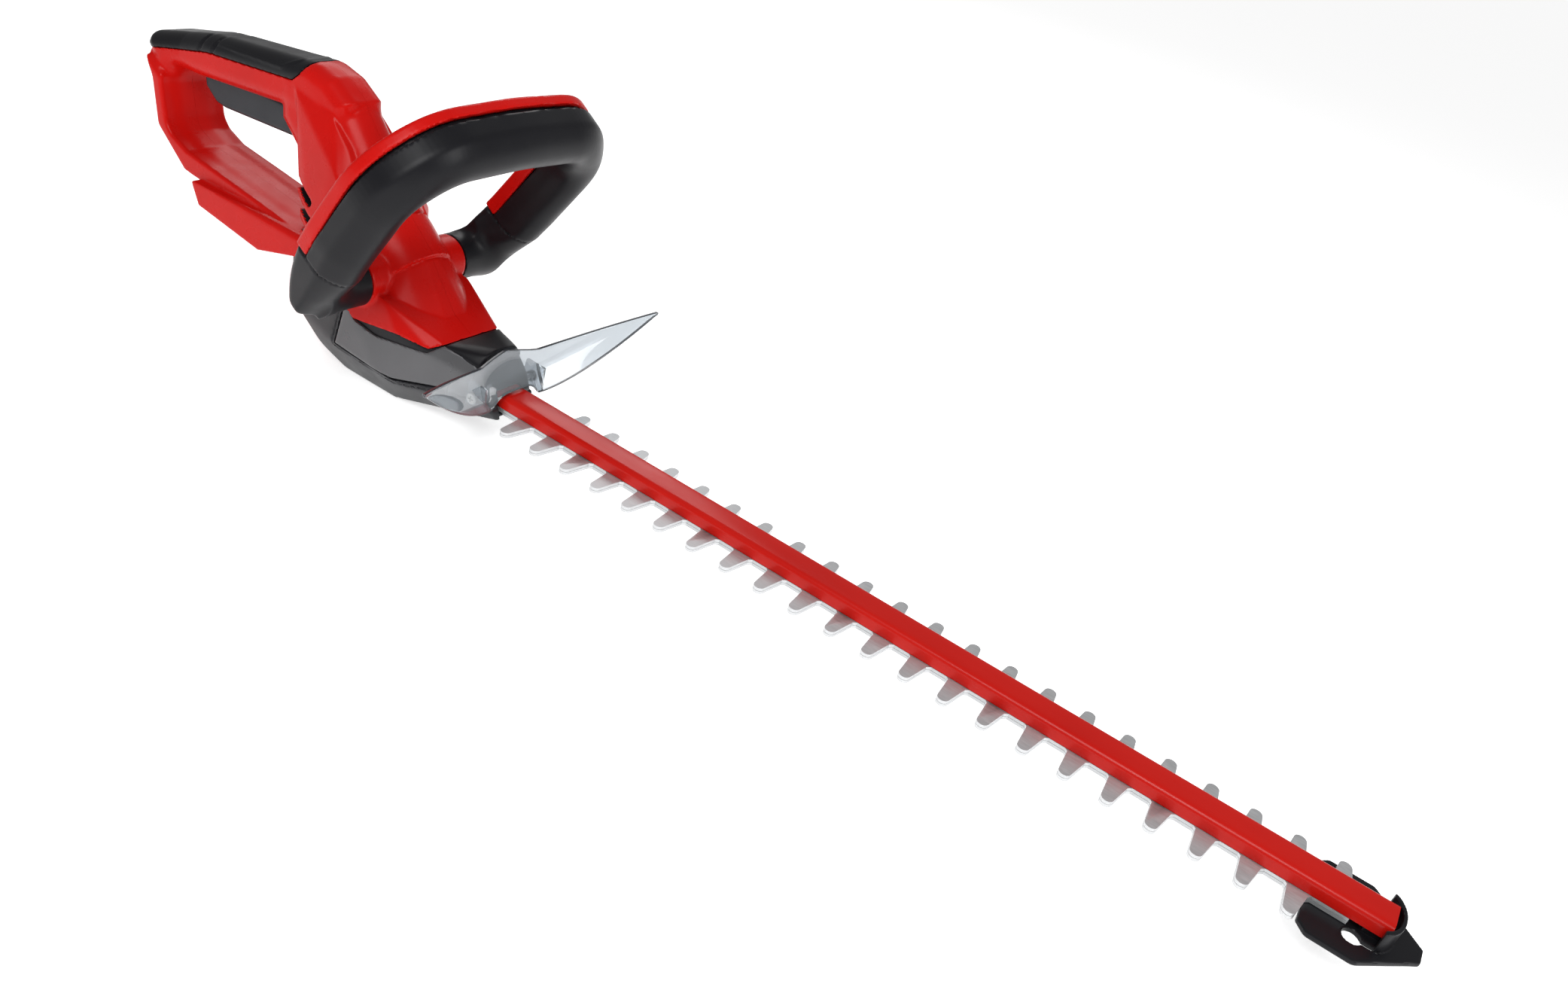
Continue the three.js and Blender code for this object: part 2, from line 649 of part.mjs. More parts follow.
// The hard core of the grip under the pad.
const coreTop = [
  [-238, 152],
  [-188, 167.5],
  [-116, 178.5],
  [-80, 184],
];
const padCore = (grow) => {
  const rear = [
    [-240 - grow, 130],
    [-240 - grow, 150],
  ];
  const half = GRIP_HALF - PAD_THICK + grow;
  return side([...rear, ...coreTop.map(([x, z]) => [x, z + grow]), [-80, 130]], [-half, half]);
};
const grip = side(loopOutline, [-GRIP_HALF, GRIP_HALF], 4);
add("grip_pad", cut(grip.intersect(padZone(0)), padCore(0), side(handHole, HALF_SPAN), column), SOFT_BLACK);
const triggerSlot = box([-206, -101], [-TRIGGER_HALF - GAP, TRIGGER_HALF + GAP], [120, 160]);
const bailHole = (sign) => {
  const at = (y) => [BAIL_ORIGIN[0], y, BAIL_ORIGIN[1]];
  const pocket = rod("y", at(sign > 0 ? 22 : -33.3), 11.3, 5, 14);
  return join(pocket, rod("y", at(sign > 0 ? 30 : -50), 20, SCREW_R + GAP, 10));
};
const pinSeat = rod("y", [TRIGGER_PIVOT[0], -13.3, TRIGGER_PIVOT[1]], 26.6, 1.8, 12);
const blockSeat = box([-84 - GAP, -72 + GAP], [-22 - GAP, 22 + GAP], [50, 61 + GAP]);
const screwHeadR = 3.4;
const housingScrewHole = ([x, z]) => {
  const shank = rod("y", [x, -15, z], 40, SCREW_R + GAP, 8);
  return join(shank, rod("y", [x, 14.7, z], 40, screwHeadR + 0.4, 12));
};
const redSolid = join(cut(body, padZone(GAP)), body.intersect(padCore(-GAP)), column.intersect(aboveRed));
const redHoles = [...HOUSING_SCREWS.map(housingScrewHole), bailHole(1), bailHole(-1), pinSeat, blockSeat];
const redBody = cut(redSolid, hollow, batterySlot, triggerSlot, ...redHoles);
const halfOf = (shape, sign) => {
  const y = sign > 0 ? [GAP / 2, 60] : [-60, -GAP / 2];
  return shape.intersect(box([-300, 200], y, [0, 260]));
};
add("housing_left", halfOf(redBody, 1), RED);
add("housing_right", halfOf(redBody, -1), RED);

// ---- Front bail handle and its safety switch bar ----
// A point of the bail: y across, up along the leaning plane, ahead of the plane.
const [leanSin, leanCos] = [Math.sin(BAIL_LEAN), Math.cos(BAIL_LEAN)];
const bailPoint = (y, up, ahead) => [
  BAIL_ORIGIN[0] + up * leanSin + ahead * leanCos,
  y,
  BAIL_ORIGIN[1] + up * leanCos - ahead * leanSin,
];
// Stations along the middle of the tube, from the left boss to the right one: [y, up, direction of travel].
function bailStations() {
  const cornerY = BAIL_HALF - BAIL_CORNER;
  const corner = (up, from) => {
    const bend = arc([cornerY, up], BAIL_CORNER, from, from + 90, 5);
    return bend.map(([y, z], i) => [y, z, from + 90 + i * 18]);
  };
  const low = corner(BAIL_CORNER, -90);
  const high = corner(BAIL_HEIGHT - BAIL_CORNER, 0);
  const left = [[BOSS_Y + GAP, 0, 0], ...low, [BAIL_HALF, SEAM_UP, 90], ...high];
  return [...left, ...left.map(([y, up, turn]) => [-y, up, 360 - turn]).reverse()];
}
// A section, as [outward, ahead] points, carried along the stations.
function alongBail(section, stations) {
  return loft(stations.map(([y, up, turn]) => {
    const angle = THREE.MathUtils.degToRad(turn - 90);
    const [outY, outUp] = [Math.cos(angle), Math.sin(angle)];
    return section.map(([out, ahead]) => bailPoint(y + out * outY, up + out * outUp, ahead));
  }), section);
}

const [SHELL_BACK, TONGUE_BACK, STEP, FRONT] = [-18, -11.5, -6, 17.5];
const TUBE_HALF = 16.5;
const TONGUE_HALF = 12.5;
const POCKET_HALF = 9.5;
const frontFace = [
  [TUBE_HALF, 6],
  [TUBE_HALF - 2.5, 13],
  [8, FRONT],
  [-8, FRONT],
  [-TUBE_HALF + 2.5, 13],
  [-TUBE_HALF, 6],
];
const lowerBack = [
  [-TUBE_HALF, -9],
  [-9, SHELL_BACK],
  [9, SHELL_BACK],
  [TUBE_HALF, -9],
];
const lowerSection = [...lowerBack, ...frontFace];
const upperSection = [
  [-TONGUE_HALF, TONGUE_BACK],
  [-POCKET_HALF, TONGUE_BACK],
  [-POCKET_HALF, 9],
  [POCKET_HALF, 9],
  [POCKET_HALF, TONGUE_BACK],
  [TONGUE_HALF, TONGUE_BACK],
  [TONGUE_HALF, STEP],
  [TUBE_HALF, STEP],
  ...frontFace,
  [-TUBE_HALF, STEP],
  [-TONGUE_HALF, STEP],
];
const stations = bailStations();
const seamIndex = stations.findIndex(([y, up]) => y === BAIL_HALF && up === SEAM_UP);
const mirrorIndex = stations.length - 1 - seamIndex;
const above = stations.slice(seamIndex, mirrorIndex + 1);
const below = stations.slice(0, seamIndex + 1);
const belowRight = stations.slice(mirrorIndex);
const SWITCH_PIN = { up: SEAM_UP + 8, ahead: -8.5, r: 1.5 };
const acrossLegs = (sign, reach, r) => {
  const [x, , z] = bailPoint(0, SWITCH_PIN.up, SWITCH_PIN.ahead);
  return rod("y", [x, sign * BAIL_HALF - reach, z], 2 * reach, r, 12);
};
const bailScrewHole = (sign, r) => {
  const from = [BAIL_ORIGIN[0], sign > 0 ? 34 : -54, BAIL_ORIGIN[1]];
  return rod("y", from, 20, r, 12);
};
const lowerLegs = join(alongBail(lowerSection, below), alongBail(lowerSection, belowRight));
const handleHoles = [1, -1].flatMap((sign) => [
  acrossLegs(sign, 13, SWITCH_PIN.r + 0.1),
  bailScrewHole(sign, SCREW_R + GAP),
]);
add("front_handle", cut(join(lowerLegs, alongBail(upperSection, above)), ...handleHoles), SOFT_BLACK);

const BAR_BACK = -15.4;
const barChannel = [
  [-TUBE_HALF + 0.5, -9.5],
  [-TUBE_HALF + 0.5, -13],
  [-10, SHELL_BACK],
  [10, SHELL_BACK],
  [TUBE_HALF - 0.5, -13],
  [TUBE_HALF - 0.5, -9.5],
  [TONGUE_HALF + 0.6, -9.5],
  [TONGUE_HALF + 0.6, BAR_BACK],
  [-TONGUE_HALF - 0.6, BAR_BACK],
  [-TONGUE_HALF - 0.6, -9.5],
];
const barStations = stations.filter(([, up]) => up > SEAM_UP + 0.1);
barStations.unshift([BAIL_HALF, SEAM_UP + 1, 90]);
barStations.push([-BAIL_HALF, SEAM_UP + 1, 270]);
// A tab of the bar that drops into the handle's channel and turns on the pin.
const barEar = (sign) => {
  const corners = [
    [SWITCH_PIN.up - 5, BAR_BACK - 1],
    [SWITCH_PIN.up + 8, BAR_BACK - 1],
    [SWITCH_PIN.up + 5, -4.5],
    [SWITCH_PIN.up - 5, -4.5],
  ];
  const ring = (y) => corners.map(([up, ahead]) => bailPoint(y, up, ahead));
  return loft([ring(sign * BAIL_HALF + 3), ring(sign * BAIL_HALF - 3)]);
};
const barPinHoles = [1, -1].map((sign) => acrossLegs(sign, 8, SWITCH_PIN.r + 0.2));
const switchBar = join(alongBail(barChannel, barStations), barEar(1), barEar(-1));
add("safety_switch_bar", cut(switchBar, ...barPinHoles), RED);
add("switch_bar_pin_left", acrossLegs(1, TONGUE_HALF - 0.4, SWITCH_PIN.r), ZINC);
add("switch_bar_pin_right", acrossLegs(-1, TONGUE_HALF - 0.4, SWITCH_PIN.r), ZINC);

// A block in the handle's channel, square to the leaning plane.
function bailBlock(y, up, ahead) {
  const ring = (h) => [
    bailPoint(y[0], h, ahead[0]),
    bailPoint(y[1], h, ahead[0]),
    bailPoint(y[1], h, ahead[1]),
    bailPoint(y[0], h, ahead[1]),
  ];
  return loft([ring(up[0]), ring(up[1])]);
}
const frontSwitchBody = bailBlock([-11, 11], [BAIL_HEIGHT - 5, BAIL_HEIGHT + 5], [-3, 8.7]);
const frontSwitchKey = bailBlock([4, 8], [BAIL_HEIGHT - 2, BAIL_HEIGHT + 2], [-8.5, -2.9]);
add("front_switch", join(frontSwitchBody, frontSwitchKey), DARK_GREY);
// A coil spring, drawn as the sleeve that holds it.
function sleeve(from, direction, length, r) {
  const axis = new THREE.Vector3(...direction).normalize();
  const turn = new THREE.Quaternion().setFromUnitVectors(new THREE.Vector3(0, 1, 0), axis);
  const tube = (radius, extra) =>
    solid(
      new THREE.CylinderGeometry(radius, radius, length + 2 * extra, 14)
        .translate(0, length / 2, 0)
        .applyQuaternion(turn)
        .translate(...from),
    );
  return cut(tube(r, 0), tube(r - 0.9, 1));
}
const springFoot = bailPoint(-24, BAIL_HEIGHT, BAR_BACK + GAP);
const springLength = 9 - BAR_BACK - 2 * GAP;
add("switch_bar_spring", sleeve(springFoot, [leanCos, 0, -leanSin], springLength, 4), STEEL);

const bailScrew = (sign) => {
  const at = (y) => [BAIL_ORIGIN[0], y, BAIL_ORIGIN[1]];
  const head = rod("y", at(sign > 0 ? 30.5 : -33), 2.5, 4.5, 14);
  const shank = rod("y", at(sign > 0 ? 32.9 : -52), 19.1, SCREW_R, 10);
  return join(head, shank);
};
add("handle_screw_left", bailScrew(1), ZINC);
add("handle_screw_right", bailScrew(-1), ZINC);

// ---- Trigger and rear switch ----
const [pivotX, pivotZ] = TRIGGER_PIVOT;
const triggerHole = (r, reach) => rod("y", [pivotX, -reach, pivotZ], 2 * reach, r, 12);
const triggerOutline = [
  ...arc(TRIGGER_PIVOT, 5, 100, 215, 4),
  [-196, 134],
  [-186, 126],
  [-177, 124.5],
  [-108, 130.5],
  [-103.5, 134],
  [-103.5, 148],
  [-108, 150],
];
add("trigger", cut(side(triggerOutline, [-TRIGGER_HALF, TRIGGER_HALF], 1), triggerHole(1.7, 20)), DARK_GREY);
add("trigger_pin", triggerHole(1.5, 13), ZINC);
add("trigger_spring", sleeve([-122, 0, 150.6], [0, 0, 1], 22.5, 4.2), STEEL);
const switchBody = box([-172, -150], [-5, 5], [157, 167]);
add("rear_switch", join(switchBody, box([-158, -154], [-2, 2], [154.4, 157.1])), DARK_GREY);

// ---- Battery contacts and control board ----
const contactBlock = box([-84, -72], [-22, 22], [50.5, 61]);
const CONTACT_YS = [-10, 10];
const contactSeat = (y) => box([-92, -76], [y - 0.8, y + 0.8], [52, 59.5]);
add("battery_contact_block", cut(contactBlock, ...CONTACT_YS.map(contactSeat)), SOFT_BLACK);
CONTACT_YS.forEach((y, i) => {
  add(`battery_contact_${i + 1}`, box([-98, -76.3], [y - 0.5, y + 0.5], [52.3, 59.2]), BRASS);
});
const board = box([-40, -38.4], [-24, 24], [66, 112]);
const boardParts = join(box([-38.5, -30], [-16, -6], [70, 84]), box([-38.5, -32], [4, 18], [90, 104]));
add("control_board", join(board, boardParts), BOARD_GREEN);

// ---- Clear hand guard ----
const GUARD_THICK = 2.2;
const WING_Y = 110;
const BRIDGE_HALF = 22; // the middle of the shield, over the bar
// Top and bottom edge of the shield, each [x, z], at a distance from the middle.
function guardEdge(y) {
  const share = Math.abs(y) / WING_Y;
  const past = Math.max(0, (Math.abs(y) - BRIDGE_HALF) / (WING_Y - BRIDGE_HALF));
  const top = [90 + 37 * share ** 1.6, 62 - 5 * Math.min(1, share / 0.25) + 24 * past ** 1.3];
  const bottom = [104 + 23 * past, 40 - 9 * Math.min(1, share / 0.2) ** 4 + 49 * past ** 1.5];
  return { top, bottom: [bottom[0], Math.min(bottom[1], top[1] - 1.5)] };
}
const halfYs = [0, 11, 16, 22, 30, 40, 54, 70, 86, 100, WING_Y];
const guardYs = [...halfYs.slice(1).map((y) => -y).reverse(), ...halfYs];
const shield = loft(
  guardYs.map((y) => {
    const { top, bottom } = guardEdge(y);
    return [
      [top[0], y, top[1]],
      [top[0] + GUARD_THICK, y, top[1]],
      [bottom[0] + GUARD_THICK, y, bottom[1]],
      [bottom[0], y, bottom[1]],
    ];
  }),
);
const flapY = [26.6, 28.6];
const flaps = sideBoxes([88, 104], flapY, [30, 46]);
const guard = cut(join(shield, flaps), guardScrewHole, barSeat);
add("hand_guard", guard, CLEAR);
const guardScrew = (sign) => {
  const at = (y) => [GUARD_SCREW[0], y, GUARD_SCREW[1]];
  const head = rod("y", at(sign > 0 ? 28.9 : -31.1), 2.2, 4, 14);
  return join(head, rod("y", at(sign > 0 ? 15 : -29), 14, SCREW_R, 10));
};
add("guard_screw_left", guardScrew(1), ZINC);
add("guard_screw_right", guardScrew(-1), ZINC);

// ---- Housing screws, driven from the left ----
HOUSING_SCREWS.forEach(([x, z], i) => {
  const head = rod("y", [x, 15, z], 2, screwHeadR, 12);
  add(`housing_screw_${i + 1}`, join(head, rod("y", [x, -14, z], 29.1, SCREW_R, 8)), ZINC);
});

export default group;
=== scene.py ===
import math

import bmesh
import bpy
import numpy as np
from mathutils import Matrix, Vector


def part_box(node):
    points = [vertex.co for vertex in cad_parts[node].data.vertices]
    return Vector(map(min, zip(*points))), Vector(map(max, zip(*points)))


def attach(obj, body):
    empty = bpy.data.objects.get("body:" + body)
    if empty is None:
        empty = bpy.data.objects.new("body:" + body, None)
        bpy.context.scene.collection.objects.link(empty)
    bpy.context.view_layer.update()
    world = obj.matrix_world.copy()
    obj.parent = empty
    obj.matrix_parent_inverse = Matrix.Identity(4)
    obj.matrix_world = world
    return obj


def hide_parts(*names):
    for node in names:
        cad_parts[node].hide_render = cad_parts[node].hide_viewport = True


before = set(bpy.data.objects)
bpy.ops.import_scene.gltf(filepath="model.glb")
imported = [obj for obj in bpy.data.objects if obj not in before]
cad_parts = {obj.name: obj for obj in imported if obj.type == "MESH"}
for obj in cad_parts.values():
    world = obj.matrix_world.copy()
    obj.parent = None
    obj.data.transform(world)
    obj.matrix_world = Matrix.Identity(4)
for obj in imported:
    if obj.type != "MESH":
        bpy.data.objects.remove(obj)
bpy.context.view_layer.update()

# The looks of a cordless hedge trimmer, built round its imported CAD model. Shapes are worked out in
# millimetres in the CAD model's frame, and turned into metres when each mesh is made.
MM = 0.001
SEAM = 0.06  # half the gap between the two housing shells
BAIL_ORIGIN = (1.0, 79.0)  # X and Z that the front handle's leaning frame is measured from
BAIL_LEAN = math.radians(31.5)
SEAM_UP = 33.0  # the front handle is whole below this, and has the red bar behind it above
BOSS_XZ = (-4.0, 78.0)  # the axis of the two side bosses that carry the front handle
BOSS_Y = 41.0
BOSS_R = 16.5
GRIP_HALF = 18.5
FRAME_HALF = 24.5
RAIL_HALF = 31.5
TRIGGER_PIVOT = (-193.0, 146.0)
TRIGGER_HALF = 9.0
TOOTH_COUNT = 22
TOOTH_PITCH = 25.0
TOOTH_REACH = 31.8
TOOTH_ROOT = 10.5
TOOTH_TIP_R = 3.6
FIRST_TOOTH_X = 125.0
FAR_SIDE_LAG = 18.75  # how far the teeth beyond the bar are from the near ones, along X
SCREW_XS = (170, 270, 370, 470, 570, 645)  # the shoulder screws along the bar
GEAR_X = 27.0
BAR_ROOM = 10.9  # half the width of the openings that the bar passes through


# ---- Signed distance fields: negative inside a shape ----
def smax(a, b, k):
    """The larger of two fields. Their edge is rounded over a width of about k."""
    if k <= 0:
        return np.maximum(a, b)
    h = np.maximum(k - np.abs(a - b), 0) / k
    return np.maximum(a, b) + h * h * k / 4


def smin(a, b, k):
    return -smax(-a, -b, k)


def soft_abs(y):
    """The size of y, rounded over about 1 mm at 0."""
    return np.sqrt(y * y + 1.0)


def outline(points, u, v):
    """Distance from a closed outline in the plane."""
    nearest, inside = None, None
    for (au, av), (bu, bv) in zip(points, points[1:] + points[:1]):
        eu, ev = bu - au, bv - av
        wu, wv = u - au, v - av
        t = np.clip((wu * eu + wv * ev) / (eu * eu + ev * ev), 0, 1)
        d = (wu - eu * t) ** 2 + (wv - ev * t) ** 2
        nearest = d if nearest is None else np.minimum(nearest, d)
        if av != bv:
            hit = ((av <= v) != (bv <= v)) & (u < au + (v - av) * eu / ev)
            inside = hit if inside is None else inside ^ hit
    return np.where(inside, -1.0, 1.0) * np.sqrt(nearest)


def corners(points, steps=6):
    """An outline from [u, v, rounding] corners."""
    made = []
    for i, (u, v, r) in enumerate(points):
        if r == 0:
            made.append((u, v))
            continue
        here = np.array([u, v], float)
        before = np.array(points[i - 1][:2], float) - here
        after = np.array(points[(i + 1) % len(points)][:2], float) - here
        lengths = np.linalg.norm(before), np.linalg.norm(after)
        before, after = before / lengths[0], after / lengths[1]
        half = math.acos(np.clip(before @ after, -1, 1)) / 2
        back = min(r / max(math.tan(half), 1e-3), 0.49 * lengths[0], 0.49 * lengths[1])
        start, end = here + before * back, here + after * back
        for s in np.linspace(0, 1, steps):
            made.append(tuple((1 - s) ** 2 * start + 2 * s * (1 - s) * here + s * s * end))
    return made


def through(points, steps=5):
    """A smooth line through points."""
    p = np.array([2 * np.array(points[0]) - points[1], *points, 2 * np.array(points[-1]) - points[-2]])
    made = []
    for a, b, c, d in zip(p, p[1:], p[2:], p[3:]):
        for t in np.linspace(0, 1, steps, endpoint=False):
            bend = (2 * a - 5 * b + 4 * c - d) * t + (3 * b - 3 * c + d - a) * t * t
            made.append(tuple(b + 0.5 * t * (c - a + bend)))
    return made + [tuple(points[-1])]


def extruded(flat, y, half, r):
    """A flat field spread to half on both sides of the middle, its edges rounded by r."""
    a, b = flat + r, np.abs(y) - half + r
    return np.minimum(np.maximum(a, b), 0) + np.hypot(np.maximum(a, 0), np.maximum(b, 0)) - r


def hull(points):
    """The planes of the convex hull of points and their mirror images, on the side y >= 0."""
    bm = bmesh.new()
    for x, y, z in points:
        bm.verts.new((x, y, z))
        bm.verts.new((x, -y, z))
    bmesh.ops.convex_hull(bm, input=list(bm.verts))
    bm.normal_update()
    middle = sum((Vector((p[0], 0, p[2])) for p in points), Vector()) / len(points)
    planes = []
    for face in bm.faces:
        normal = face.normal if face.normal.dot(face.verts[0].co - middle) > 0 else -face.normal
        offset = normal.dot(face.verts[0].co)
        known = any(normal.dot(n) > 0.9985 and abs(offset - d) < 0.8 for n, d in planes)
        if normal.y > -1e-4 and not known:
            planes.append((normal.copy(), offset))
    bm.free()
    return planes


def convex(planes, x, y, z, k):
    far = soft_abs(y)
    made = None
    for n, d in planes:
        f = n.x * x + n.y * far + n.z * z - d
        made = f if made is None else smax(made, f, k)
    return made


def slab(value, low, high):
    return np.maximum(low - value, value - high)


# ---- Meshes ----
def slope_of(field, co, step=0.15):
    """A field's gradient, from points a step away on both sides."""
    across = [field(*(co + step * e).T) - field(*(co - step * e).T) for e in np.eye(3)]
    return np.stack(across, 1) / (2 * step)


def surface(field, low, high, cell):
    """Vertices and quads of a field's zero surface: surface nets, then three steps onto the surface."""
    axes = [np.arange(a - 2.5 * cell, b + 3.5 * cell, cell) for a, b in zip(low, high)]
    shape = tuple(len(a) for a in axes)
    grid = np.meshgrid(*axes, indexing="ij", sparse=True)
    f = np.broadcast_to(field(*grid), shape).astype(np.float32)
    inside = f < 0
    cells = tuple(n - 1 for n in shape)
    owners, points, quads = [], [], []
    for axis in range(3):
        u, v = (axis + 1) % 3, (axis + 2) % 3
        start = [slice(None)] * 3
        end = [slice(None)] * 3
        start[axis], end[axis] = slice(0, -1), slice(1, None)
        crossing = np.argwhere(inside[tuple(start)] != inside[tuple(end)])
        ahead = crossing.copy()
        ahead[:, axis] += 1
        f0, f1 = f[tuple(crossing.T)], f[tuple(ahead.T)]
        at = crossing.astype(float)
        at[:, axis] += f0 / (f0 - f1)
        ring = []
        for du, dv in ((0, 0), (-1, 0), (-1, -1), (0, -1)):
            cell_index = crossing.copy()
            cell_index[:, u] += du
            cell_index[:, v] += dv
            ring.append(np.ravel_multi_index(cell_index.T, cells))
            owners.append(ring[-1])
            points.append(at)
        quad = np.stack(ring, 1)
        leaving = f0 < 0
        quads.append(np.where(leaving[:, None], quad, quad[:, ::-1]))
    owners, points = np.concatenate(owners), np.concatenate(points)
    used, index = np.unique(owners, return_inverse=True)
    share = np.bincount(index)
    co = np.stack([np.bincount(index, points[:, i]) / share for i in range(3)], 1)
    co = co * cell + np.array([a[0] for a in axes])
    faces = np.searchsorted(used, np.concatenate(quads))
    for _ in range(3):
        slope = slope_of(field, co)
        move = -(field(*co.T) / np.maximum((slope**2).sum(1), 0.2))[:, None] * slope
        co += np.clip(move, -0.5 * cell, 0.5 * cell)
    return co, faces


def place(name, data):
    made = bpy.data.objects.new(name, data)
    bpy.context.scene.collection.objects.link(made)
    return made


def mesh_object(name, co, faces):
    """A new piece from points in millimetres."""
    mesh = bpy.data.meshes.new(name)
    mesh.from_pydata((np.asarray(co, float) * MM).tolist(), [], [list(map(int, f)) for f in faces])
    mesh.validate()
    made = place(name, mesh)
    smooth(made)
    return made


def smooth(piece, sharp=38):
    piece.data.shade_smooth()
    piece.data.set_sharp_from_angle(angle=math.radians(sharp))


def sculpt(name, field, low, high, cell):
    return mesh_object(name, *surface(field, low, high, cell))


def half_of(piece, name, side, gap):
    """The part of a piece beyond gap on one side of the middle plane, closed along the cut."""
    made = piece.copy()
    made.data = piece.data.copy()
    made.name = made.data.name = name
    bpy.context.scene.collection.objects.link(made)
    bm = bmesh.new()
    bm.from_mesh(made.data)
    cut = bmesh.ops.bisect_plane(
        bm,
        geom=bm.verts[:] + bm.edges[:] + bm.faces[:],
        dist=1e-7,
        plane_co=(0, side * gap * MM, 0),
        plane_no=(0, -side, 0),
        clear_outer=True,
    )
    edges = [e for e in cut["geom_cut"] if isinstance(e, bmesh.types.BMEdge)]
    bmesh.ops.triangle_fill(bm, edges=edges, use_beauty=True, normal=(0, -side, 0))
    bmesh.ops.recalc_face_normals(bm, faces=bm.faces[:])
    bm.to_mesh(made.data)
    bm.free()
    smooth(made)
    return made


def bar_of(name, section, xs):
    """A section of [y, z] points carried along X."""
    count = len(section)
    co = [(x, y, z) for x in xs for y, z in section]
    faces = []
    for ring in range(len(xs) - 1):
        for i in range(count):
            a, b = ring * count + i, ring * count + (i + 1) % count
            faces.append((a, b, b + count, a + count))
    faces.append(tuple(range(count)))
    faces.append(tuple(reversed(range(len(co) - count, len(co)))))
    return tidy(mesh_object(name, co, faces))


def tidy(piece, bevel=0.0, segments=2, angle=30):
    """Faces out, and edges rounded by a bevel."""
    bm = bmesh.new()
    bm.from_mesh(piece.data)
    bmesh.ops.recalc_face_normals(bm, faces=bm.faces[:])
    if bevel > 0:
        least = math.radians(angle)
        bmesh.ops.bevel(
            bm,
            geom=[e for e in bm.edges if len(e.link_faces) == 2 and e.calc_face_angle(0) > least],
            offset=bevel * MM,
            segments=segments,
            profile=0.5,
            affect="EDGES",
            clamp_overlap=True,
        )
    bm.to_mesh(piece.data)
    bm.free()
    smooth(piece)
    return piece


# ---- Materials ----
def shader_of(mat):
    return mat.node_tree.nodes["Principled BSDF"]


def material(name, color, rough, metallic=0.0, **sockets):
    mat = bpy.data.materials.new(name)
    mat.use_nodes = True
    shader = shader_of(mat)
    shader.inputs["Base Color"].default_value = (*color, 1)
    shader.inputs["Roughness"].default_value = rough
    shader.inputs["Metallic"].default_value = metallic
    for key, value in sockets.items():
        shader.inputs[key.replace("_", " ")].default_value = value
    return mat


def add_node(mat, kind, **values):
    made = mat.node_tree.nodes.new(kind)
    for key, value in values.items():
        if key in made.inputs:
            made.inputs[key].default_value = value
        else:
            setattr(made, key, value)
    return made


def link(mat, a, b):
    mat.node_tree.links.new(a, b)


def noise(mat, scale, detail, stretch=(1, 1, 1), rough=0.5):
    """Noise in the piece's own metres."""
    where = add_node(mat, "ShaderNodeTexCoord")
    mapping = add_node(mat, "ShaderNodeMapping")
    mapping.inputs["Scale"].default_value = stretch
    link(mat, where.outputs["Object"], mapping.inputs["Vector"])
    made = add_node(mat, "ShaderNodeTexNoise", Scale=scale, Detail=detail, Roughness=rough)
    link(mat, mapping.outputs["Vector"], made.inputs["Vector"])
    return made.outputs["Fac"]


def spread(mat, source, low, high):
    """source, from 0.3 to 0.7, turned into low to high."""
    made = add_node(mat, "ShaderNodeMapRange")
    for key, value in (("From Min", 0.3), ("From Max", 0.7), ("To Min", low), ("To Max", high)):
        made.inputs[key].default_value = value
    link(mat, source, made.inputs["Value"])
    return made.outputs["Result"]


def tint(mat, source, dark, light):
    """The base colour, from dark to light with source."""
    ramp = add_node(mat, "ShaderNodeValToRGB")
    ramp.color_ramp.elements[0].position, ramp.color_ramp.elements[1].position = 0.3, 0.7
    ramp.color_ramp.elements[0].color = (*dark, 1)
    ramp.color_ramp.elements[1].color = (*light, 1)
    link(mat, source, ramp.inputs["Fac"])
    link(mat, ramp.outputs["Color"], shader_of(mat).inputs["Base Color"])


def grain(mat, source, depth_mm, strength):
    bump = add_node(mat, "ShaderNodeBump", Strength=strength, Distance=depth_mm * MM)
    link(mat, source, bump.inputs["Height"])
    link(mat, bump.outputs["Normal"], shader_of(mat).inputs["Normal"])


def roughen(mat, source, low, high):
    link(mat, spread(mat, source, low, high), shader_of(mat).inputs["Roughness"])


def moulded(name, color, rough, grain_scale, depth, **sockets):
    """Moulded plastic: a fine spark-eroded grain, and slow changes of gloss and colour."""
    mat = material(name, color, rough, **sockets)
    tint(mat, noise(mat, 18, 3), [c * 0.93 for c in color], [min(1, c * 1.05) for c in color])
    roughen(mat, noise(mat, 60, 4), rough - 0.05, rough + 0.06)
    grain(mat, noise(mat, grain_scale, 3, rough=0.7), depth, 0.5)
    return mat


def metal(name, color, rough, stretch, scale=900, depth=0.006, metallic=1.0):
    """Metal with fine scratches along one direction."""
    mat = material(name, color, rough, metallic)
    lines = noise(mat, scale, 4, stretch, 0.65)
    tint(mat, lines, [c * 0.86 for c in color], [min(1, c * 1.06) for c in color])
    roughen(mat, lines, rough - 0.07, rough + 0.1)
    grain(mat, lines, depth, 0.4)
    return mat


RED = moulded("moulded_red", (0.56, 0.006, 0.004), 0.28, 1700, 0.02, Specular_IOR_Level=0.12)
BLACK = moulded("soft_touch_black", (0.009, 0.009, 0.011), 0.36, 2200, 0.02, Specular_IOR_Level=0.17)
DARK = moulded("dark_plastic", (0.040, 0.040, 0.045), 0.40, 1600, 0.04, Specular_IOR_Level=0.3)
TRAY = moulded("tray_plastic", (0.020, 0.020, 0.023), 0.40, 1600, 0.04, Specular_IOR_Level=0.3)
GREY = moulded("grey_plastic", (0.105, 0.105, 0.11), 0.32, 1600, 0.03, Metallic=0.3)
TRIGGER = moulded("trigger_plastic", (0.026, 0.028, 0.033), 0.40, 1400, 0.03, Specular_IOR_Level=0.2)
NYLON = moulded("fan_nylon", (0.70, 0.67, 0.60), 0.45, 900, 0.03)
FELT = moulded("felt", (0.26, 0.25, 0.22), 0.95, 700, 0.3)
BOARD = moulded("circuit_board", (0.02, 0.11, 0.045), 0.35, 500, 0.03)
